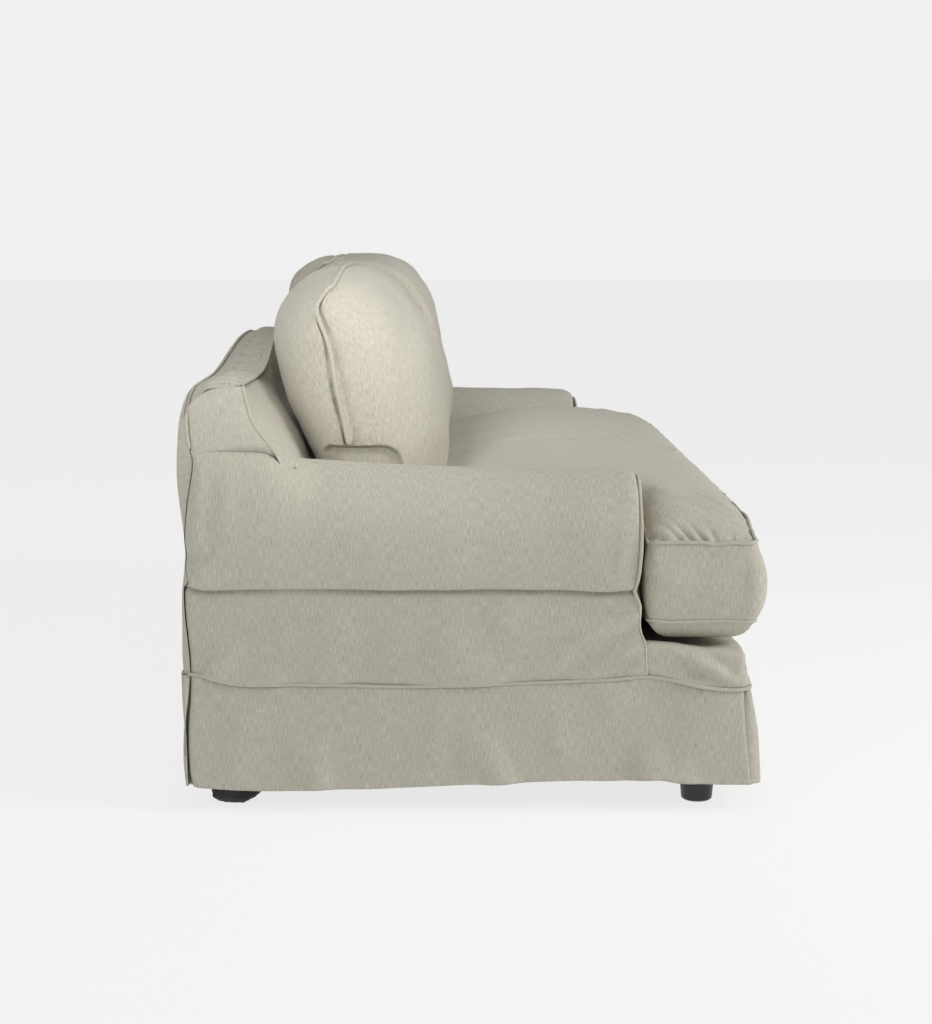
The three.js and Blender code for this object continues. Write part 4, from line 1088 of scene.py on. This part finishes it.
def seat_border(loop, seed):
    """The border between the two pipings. It bulges by most * sin(pi * share)^0.6, most of all in front."""
    share = np.linspace(0, 1, 26)[:, None]
    looped = np.vstack([loop, loop[:1]])
    run = np.gradient(looped, axis=0)
    out = np.stack([run[:, 1], -run[:, 0]], 1)
    out /= np.linalg.norm(out, axis=1, keepdims=True)
    place = np.linspace(0, 1, len(looped))[None, :] * 3.35
    most = 0.002 + 0.006 * np.clip(1 + out[None, :, 0], 0, 1)
    most = most + 0.012 * np.clip(-out[None, :, 1], 0, 1)
    bulge = most * np.sin(np.pi * share) ** 0.6 + undulation(place, share * 0.13, 0.2, 0.0014, seed)
    bulge = bulge + puckers(place, (1 - share) * 0.13, 0.05, 0.02, 0.0016, seed + 1)
    bulge[:, -1] = bulge[:, 0]
    bulge = bulge * np.sin(np.pi * share) ** 0.3
    xy = looped[None] + out[None] * bulge[..., None]
    z = mix(piping_height(looped[None, :, 0]), SEAT_LOW_PIPING, share)
    return np.concatenate([xy, z[..., None]], -1)


def seat_cushion(side):
    """A boxed T cushion: crowned top, bulging border, softer underside, piped round both edges."""
    body = f"seat_cushion_{side}"
    seed = 201 if side == "right" else 301
    loop = closed_plan()
    top, top_plan = seat_top(seed)
    under, under_plan = seat_underside(seed + 3)
    # The piping wanders up and down by about a millimetre, as sewn piping does
    turns = np.linspace(0, 2 * np.pi, len(loop))
    wander = 0.0011 * np.sin(23 * turns) + 0.0012 * np.sin(61 * turns) * (np.sin(7 * turns) > 0.2)
    upper = np.column_stack([loop, piping_height(loop[:, 0]) + wander])
    lower = np.column_stack([loop, SEAT_LOW_PIPING + wander[::-1] * 0.8])
    parts = [panel(top, uv=top_plan), panel(under[::-1], uv=under_plan[::-1]),
             panel(seat_border(loop, seed + 4)),
             welt(upper, PIPING, closed=True), welt(lower, PIPING, closed=True)]
    obj = build(f"seat_pad_{side}", on_side(parts, side), CUSHION_LINEN, body)
    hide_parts(body)


# Sections of the back cushions, (y, z) from the bottom up: front face, rear face and the seam between them.
# The left one is the photo's near cushion; the right one leans back further, with a squarer top corner.
FRONT_FACE = {
    "left": [(0.160, 0.484), (0.100, 0.488), (0.068, 0.520), (0.055, 0.590), (0.056, 0.660), (0.076, 0.755),
             (0.108, 0.826), (0.146, 0.877), (0.196, 0.916), (0.250, 0.933)],
    "right": [(0.160, 0.484), (0.100, 0.488), (0.066, 0.520), (0.050, 0.590), (0.052, 0.660), (0.076, 0.765),
              (0.110, 0.868), (0.156, 0.922), (0.212, 0.943), (0.310, 0.942)]}
REAR_FACE = {
    "left": [(0.170, 0.484), (0.236, 0.487), (0.282, 0.515), (0.313, 0.585), (0.343, 0.645), (0.368, 0.700),
             (0.385, 0.760), (0.384, 0.815), (0.364, 0.868), (0.316, 0.914), (0.250, 0.933)],
    "right": [(0.170, 0.484), (0.232, 0.487), (0.272, 0.515), (0.298, 0.585), (0.330, 0.660), (0.362, 0.730),
              (0.392, 0.800), (0.404, 0.855), (0.394, 0.905), (0.360, 0.934), (0.310, 0.942)]}
SEAM_LINE = {
    "left": [(0.165, 0.484), (0.212, 0.535), (0.232, 0.614), (0.240, 0.656), (0.256, 0.740), (0.268, 0.820),
             (0.290, 0.888), (0.270, 0.930)],
    "right": [(0.165, 0.484), (0.212, 0.535), (0.232, 0.614), (0.248, 0.680), (0.278, 0.760), (0.312, 0.840),
              (0.352, 0.905), (0.330, 0.940)]}
# How square and how blunt an end is: the outer ends plump, the inner ones pressed flat together
OUTER_END = (3.8, 2.7)
INNER_END = (55.0, 3.0)
# The box end of the bottom panel shows low on each end of the cushion
GUSSET_TOP = 0.612
GUSSET_FRONT = 0.134
GUSSET_REAR = 0.281


def fullness(w):
    """The share k of its full thickness that a cushion has at w: (1 - |w|^p)^(1/q), w from -1 to 1."""
    power, bluntness = (np.where(w > 0, a, b) for a, b in zip(OUTER_END, INNER_END))
    return (1 - np.abs(w) ** power) ** (1 / bluntness)


def across_cushion():
    """Places across a cushion, in even steps of thickness at its ends and of width between them."""
    k = np.linspace(0, 0.93, 58)
    inner, outer = ((1 - k ** q) ** (1 / p) for p, q in (INNER_END, OUTER_END))
    return np.concatenate([-inner, np.linspace(-inner[-1], outer[-1], 96)[1:-1], outer[::-1]])


def outside_gusset(y, z):
    """Signed distance from the seam of the box end: an upside-down U with a wide front corner."""
    rear, front = (np.hypot(np.maximum(away, 0), np.maximum(z - GUSSET_TOP + radius, 0)) - radius
                   for away, radius in ((y - GUSSET_REAR + 0.016, 0.016), (GUSSET_FRONT + 0.040 - y, 0.040)))
    return np.maximum(rear, front)


def pillow_shape(section, center, half, drop, v):
    """Across a back cushion its section shrinks onto the seam: point = seam + (face - seam) * fullness, and
    its top drops at both ends."""
    w = across_cushion()[:, None]
    k = fullness(w)
    even = np.linspace(0, 1, 400)
    outline, seam = (np.column_stack([np.interp(v, even, line[:, axis]) for axis in (0, 1)])
                     for line in (through(section[0], 400), through(section[1], 400)))
    v = v[None]
    yz = seam[None] + (outline - seam)[None] * k[..., None]
    base = outline[0, 1]
    z = base + (yz[..., 1] - base) * (1 - np.where(w > 0, drop, 0.022) * np.abs(w) ** 4 * ease(v / 0.6))
    narrowed = 0.035 * ease((v - 0.72) / 0.28) + 0.012 * ease((0.3 - v) / 0.3)
    x = center + half * w * (1 - np.where(w > 0, 1, 0.12) * narrowed) + 0 * z
    return np.stack([x, yz[..., 0], z], -1)


def pillow_face(section, center, half, seed, towards, drop, pulled):
    """One face of a back cushion, slack and gathered at its seam, with the box end of the bottom panel set
    a little into its outer end."""
    v = np.concatenate([np.linspace(0, 0.15, 18)[:-1], np.linspace(0.15, 0.42, 84)[:-1],
                        np.linspace(0.42, 1, 90)])
    P = pillow_shape(section, center, half, drop, v)
    x, y, z = P[..., 0], P[..., 1], P[..., 2]
    w = across_cushion()[:, None]
    k = fullness(w)
    v = v[None]
    near_end = ease((w - 0.55) / 0.25)
    from_seam = 0.14 * k + (1 - np.abs(w)) * half + 0 * z
    to_top = (1 - v) * 0.55 + 0 * z
    fade = np.clip(np.minimum(k / 0.3, np.minimum(v, 1 - v) / 0.03), 0, 1)
    depth = undulation(x + towards, z + y, 0.32, 0.0022, seed) * k * fade
    away = outside_gusset(y, z)
    sewn = 1 - near_end * (away < 0)
    depth = depth + sewn * puckers(z, from_seam, 0.045, 0.030, 0.0030, seed + 1)
    depth = depth + puckers(x, to_top, 0.055, 0.03, 0.0026, seed + 2) * fade
    depth = depth - 0.0045 * sewn * np.exp(-((from_seam - 0.008) / 0.005) ** 2)
    depth = depth + near_end * folds(y, z, pulled)
    recess = 0.009 * ease(-away / 0.004) + 0.45 * np.clip(-away, 0, 0.05)
    depth = depth - near_end * (recess + 0.003 * np.exp(-((away + 0.002) / 0.002) ** 2))
    gathers = puckers(y, np.abs(away), 0.016, 0.020, 0.0042, seed + 3) * (away > 0)
    depth = depth + near_end * gathers * ease((z - 0.56) / 0.03)
    return pushed(P, towards * (depth * np.clip(v * 30, 0, 1) * np.clip((1 - v) * 30, 0, 1)))


def back_cushion(side):
    """A plump knife-edged cushion with a piped seam and a box end at the bottom."""
    body = f"back_cushion_{side}"
    seed = 401 if side == "right" else 501
    inner, outer = 0.0015, side_of("back_cushion_right", 1, 0) - 0.003
    center, half = (inner + outer) / 2, (outer - inner) / 2
    drop = 0.075 if side == "left" else 0.055
    front = pillow_face((FRONT_FACE[side], SEAM_LINE[side]), center, half, seed, 1, drop, [
        ((0.262, 0.865), (0.205, 0.84), 0.010, -0.003),
        ((0.250, 0.80), (0.20, 0.775), 0.012, -0.002)])
    rear = pillow_face((REAR_FACE[side], SEAM_LINE[side]), center, half, seed + 20, -1, drop, [
        ((0.266, 0.855), (0.335, 0.812), 0.011, -0.0055),
        ((0.276, 0.882), (0.335, 0.845), 0.008, -0.004),
        ((0.258, 0.82), (0.31, 0.785), 0.010, 0.003),
        ((0.236, 0.66), (0.262, 0.70), 0.007, -0.004)])
    outer_seam = front[-1][::-1]
    ring = np.vstack([front[0, 8:], front[1:-1, -1], outer_seam[outer_seam[:, 2] > GUSSET_TOP]])
    parts = [panel(face, uv=cloth_uv(face)[..., ::-1]) for face in (front, rear[::-1])]
    parts.append(welt(resampled(ring, 420), CUSHION_PIPING))
    obj = build(f"back_pillow_{side}", on_side(parts, side), CUSHION_LINEN, body, weld=True)
    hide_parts(body)


# Below the base


def foot_wrap(side):
    """Black cloth bunched round the rear foot: radius = foot + lobes, in creases that open downwards."""
    low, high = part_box(f"rear_foot_wrap_{side}")
    center = (low + high) / 2
    angle = np.linspace(0, 2 * np.pi, 180, endpoint=False)[:, None]
    share = np.linspace(0, 1, 34)[None, :]
    z = mix(high[2] + 0.004, 0.0015 + 0.006 * np.clip(np.sin(angle), 0, 1) ** 4, share)
    lobes = 0.6 * np.abs(np.sin(1.5 * angle + 1.2)) + 0.3 * np.sin(5 * angle + 0.6 + 1.2 * share)
    lobes = lobes + 0.25 * np.sin(13 * angle + 4 * share)
    radius = mix(0.048, 0.034, share ** 3) + 0.007 * lobes * (0.3 + 0.7 * share)
    radius = radius + 0.0035 * np.sin(9 * share + 3 * angle + np.sin(2 * angle))
    radius = radius - 0.008 * ease((share - 0.86) / 0.14)
    ring = np.stack([center[0] + radius * np.cos(angle), center[1] + radius * np.sin(angle), z], -1)
    parts = [panel(ring[::-1], wrap=True)]
    obj = build(f"foot_cloth_{side}", parts, BLACK_CLOTH, "sofa_frame")
    thickened(obj, CAMBRIC)
    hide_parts(f"rear_foot_wrap_{side}")


def under_cover():
    """The black dust cover stapled under the rails, sagging a little."""
    low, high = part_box("dust_cover")
    x = np.linspace(low[0] + 0.004, high[0] - 0.004, 160)[:, None]
    y = np.linspace(low[1] + 0.004, high[1] - 0.004, 80)[None, :]
    width, depth = high[0] - low[0], high[1] - low[1]
    sag = np.sin(np.pi * (x - low[0]) / width) * np.sin(np.pi * (y - low[1]) / depth)
    z = high[2] - 0.0008 - 0.006 * sag ** 0.7 + undulation(x, y, 0.4, 0.0008, 7) * sag
    obj = build("dust_cloth", [panel(grid(x, y, z)[::-1])], BLACK_CLOTH, "sofa_frame")
    thickened(obj, CAMBRIC)
    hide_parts("dust_cover")


# Stage, light and camera


def rays_that_see(tree):
    """1 for the rays that look at the surroundings: the camera's and those of gloss and glass."""
    ray = node(tree, "ShaderNodeLightPath").outputs
    gloss = node(tree, "ShaderNodeMath", links={0: ray["Is Camera Ray"], 1: ray["Is Glossy Ray"]},
                 operation="MAXIMUM")
    both = node(tree, "ShaderNodeMath", links={0: gloss.outputs[0], 1: ray["Is Transmission Ray"]},
                operation="MAXIMUM")
    return both.outputs[0]


def studio_floor():
    """White paper lit from below as well, so that only a light shadow shows on it."""
    material = bpy.data.materials.new("lit studio paper")
    material.use_nodes = True
    tree = material.node_tree
    tree.nodes.remove(tree.nodes["Principled BSDF"])
    paper = node(tree, "ShaderNodeBsdfDiffuse", {"Color": (0.86, 0.86, 0.86, 1)})
    strength = node(tree, "ShaderNodeMapRange", {"To Min": 0.92, "To Max": 1.0},
                    {"Value": rays_that_see(tree)})
    glow = node(tree, "ShaderNodeEmission", {"Color": (1, 1, 1, 1)}, {"Strength": strength.outputs[0]})
    both = node(tree, "ShaderNodeMixShader", {0: 0.78}, {1: paper.outputs[0], 2: glow.outputs[0]})
    tree.links.new(both.outputs[0], tree.nodes["Material Output"].inputs["Surface"])
    return material


def stage():
    """A wide plain floor."""
    mesh = bpy.data.meshes.new("floor")
    reach = 40
    mesh.from_pydata([(-reach, -reach, 0), (reach, -reach, 0), (reach, reach, 0), (-reach, reach, 0)], [],
                     [(0, 1, 2, 3)])
    mesh.materials.append(studio_floor())
    floor = bpy.data.objects.new("floor", mesh)
    bpy.context.scene.collection.objects.link(floor)


def softbox(name, place, aim, size, power, spread=180):
    """A square softbox at a place, turned to a point on the sofa: size in metres, power in watts. A grid
    narrows its spread, in degrees."""
    lamp = bpy.data.lights.new(name, "AREA")
    lamp.energy = power
    lamp.size = size
    lamp.spread = np.radians(spread)
    obj = bpy.data.objects.new(name, lamp)
    obj.location = place
    obj.rotation_mode = "QUATERNION"
    obj.rotation_quaternion = (Vector(place) - Vector(aim)).to_track_quat("Z", "Y")
    bpy.context.scene.collection.objects.link(obj)


def studio_light():
    """White surroundings, a big softbox in front of the photographed end, a weaker one behind it, a faint one
    overhead and a small gridded one on the near back cushion."""
    world = bpy.data.worlds.new("studio")
    bpy.context.scene.world = world
    world.use_nodes = True
    tree = world.node_tree
    seen = node(tree, "ShaderNodeBackground", {"Color": (0.875, 0.875, 0.875, 1), "Strength": 1.0})
    lit = node(tree, "ShaderNodeBackground", {"Color": (1, 1, 1, 1), "Strength": 0.32})
    both = node(tree, "ShaderNodeMixShader", links={0: rays_that_see(tree), 1: lit.outputs[0],
                                                    2: seen.outputs[0]})
    tree.links.new(both.outputs[0], tree.nodes["World Output"].inputs["Surface"])
    softbox("front", (-1.8, -3.4, 2.4), (-0.6, 0.0, 0.5), 1.8, 83)
    softbox("rear left", (-3.4, 1.8, 2.4), (-0.7, 0.0, 0.6), 1.5, 14)
    softbox("overhead", (-0.9, 0.0, 3.4), (-0.7, 0.0, 0.5), 2.0, 5)
    softbox("gridded", (-2.9, 0.7, 2.0), (-0.75, 0.22, 0.85), 0.6, 0.72, 17)


def camera():
    """The photograph's view: from the left-hand side, slightly above, looking along +X."""
    place = (-4.43, 0.0455, 0.9935)
    pitch, yaw = 0.1376, -0.0071
    lens = bpy.data.cameras.new("photo view")
    lens.lens = 70.5
    lens.sensor_width = 36
    obj = bpy.data.objects.new("photo view", lens)
    forward = Vector((np.cos(pitch) * np.cos(yaw), np.cos(pitch) * np.sin(yaw), -np.sin(pitch)))
    right = Vector((np.sin(yaw), -np.cos(yaw), 0))
    up = right.cross(forward)
    turned = Matrix((right, up, -forward)).transposed().to_4x4()
    obj.matrix_world = Matrix.Translation(place) @ turned
    bpy.context.scene.collection.objects.link(obj)
    bpy.context.scene.camera = obj


finish_frame_nodes()
for side in BOTH:
    arm_cover(side)
    arm_front(side)
    side_panel(side)
    back_end_panel(side)
    seat_cushion(side)
    back_cushion(side)
    foot_wrap(side)
skirt_piping(base_cover())
seat_deck()
skirts()
skirt_flaps()
top_band()
inside_back_cover()
outer_back()
back_piping()
under_cover()
stage()
studio_light()
camera()
bpy.context.scene.view_settings.view_transform = "Standard"
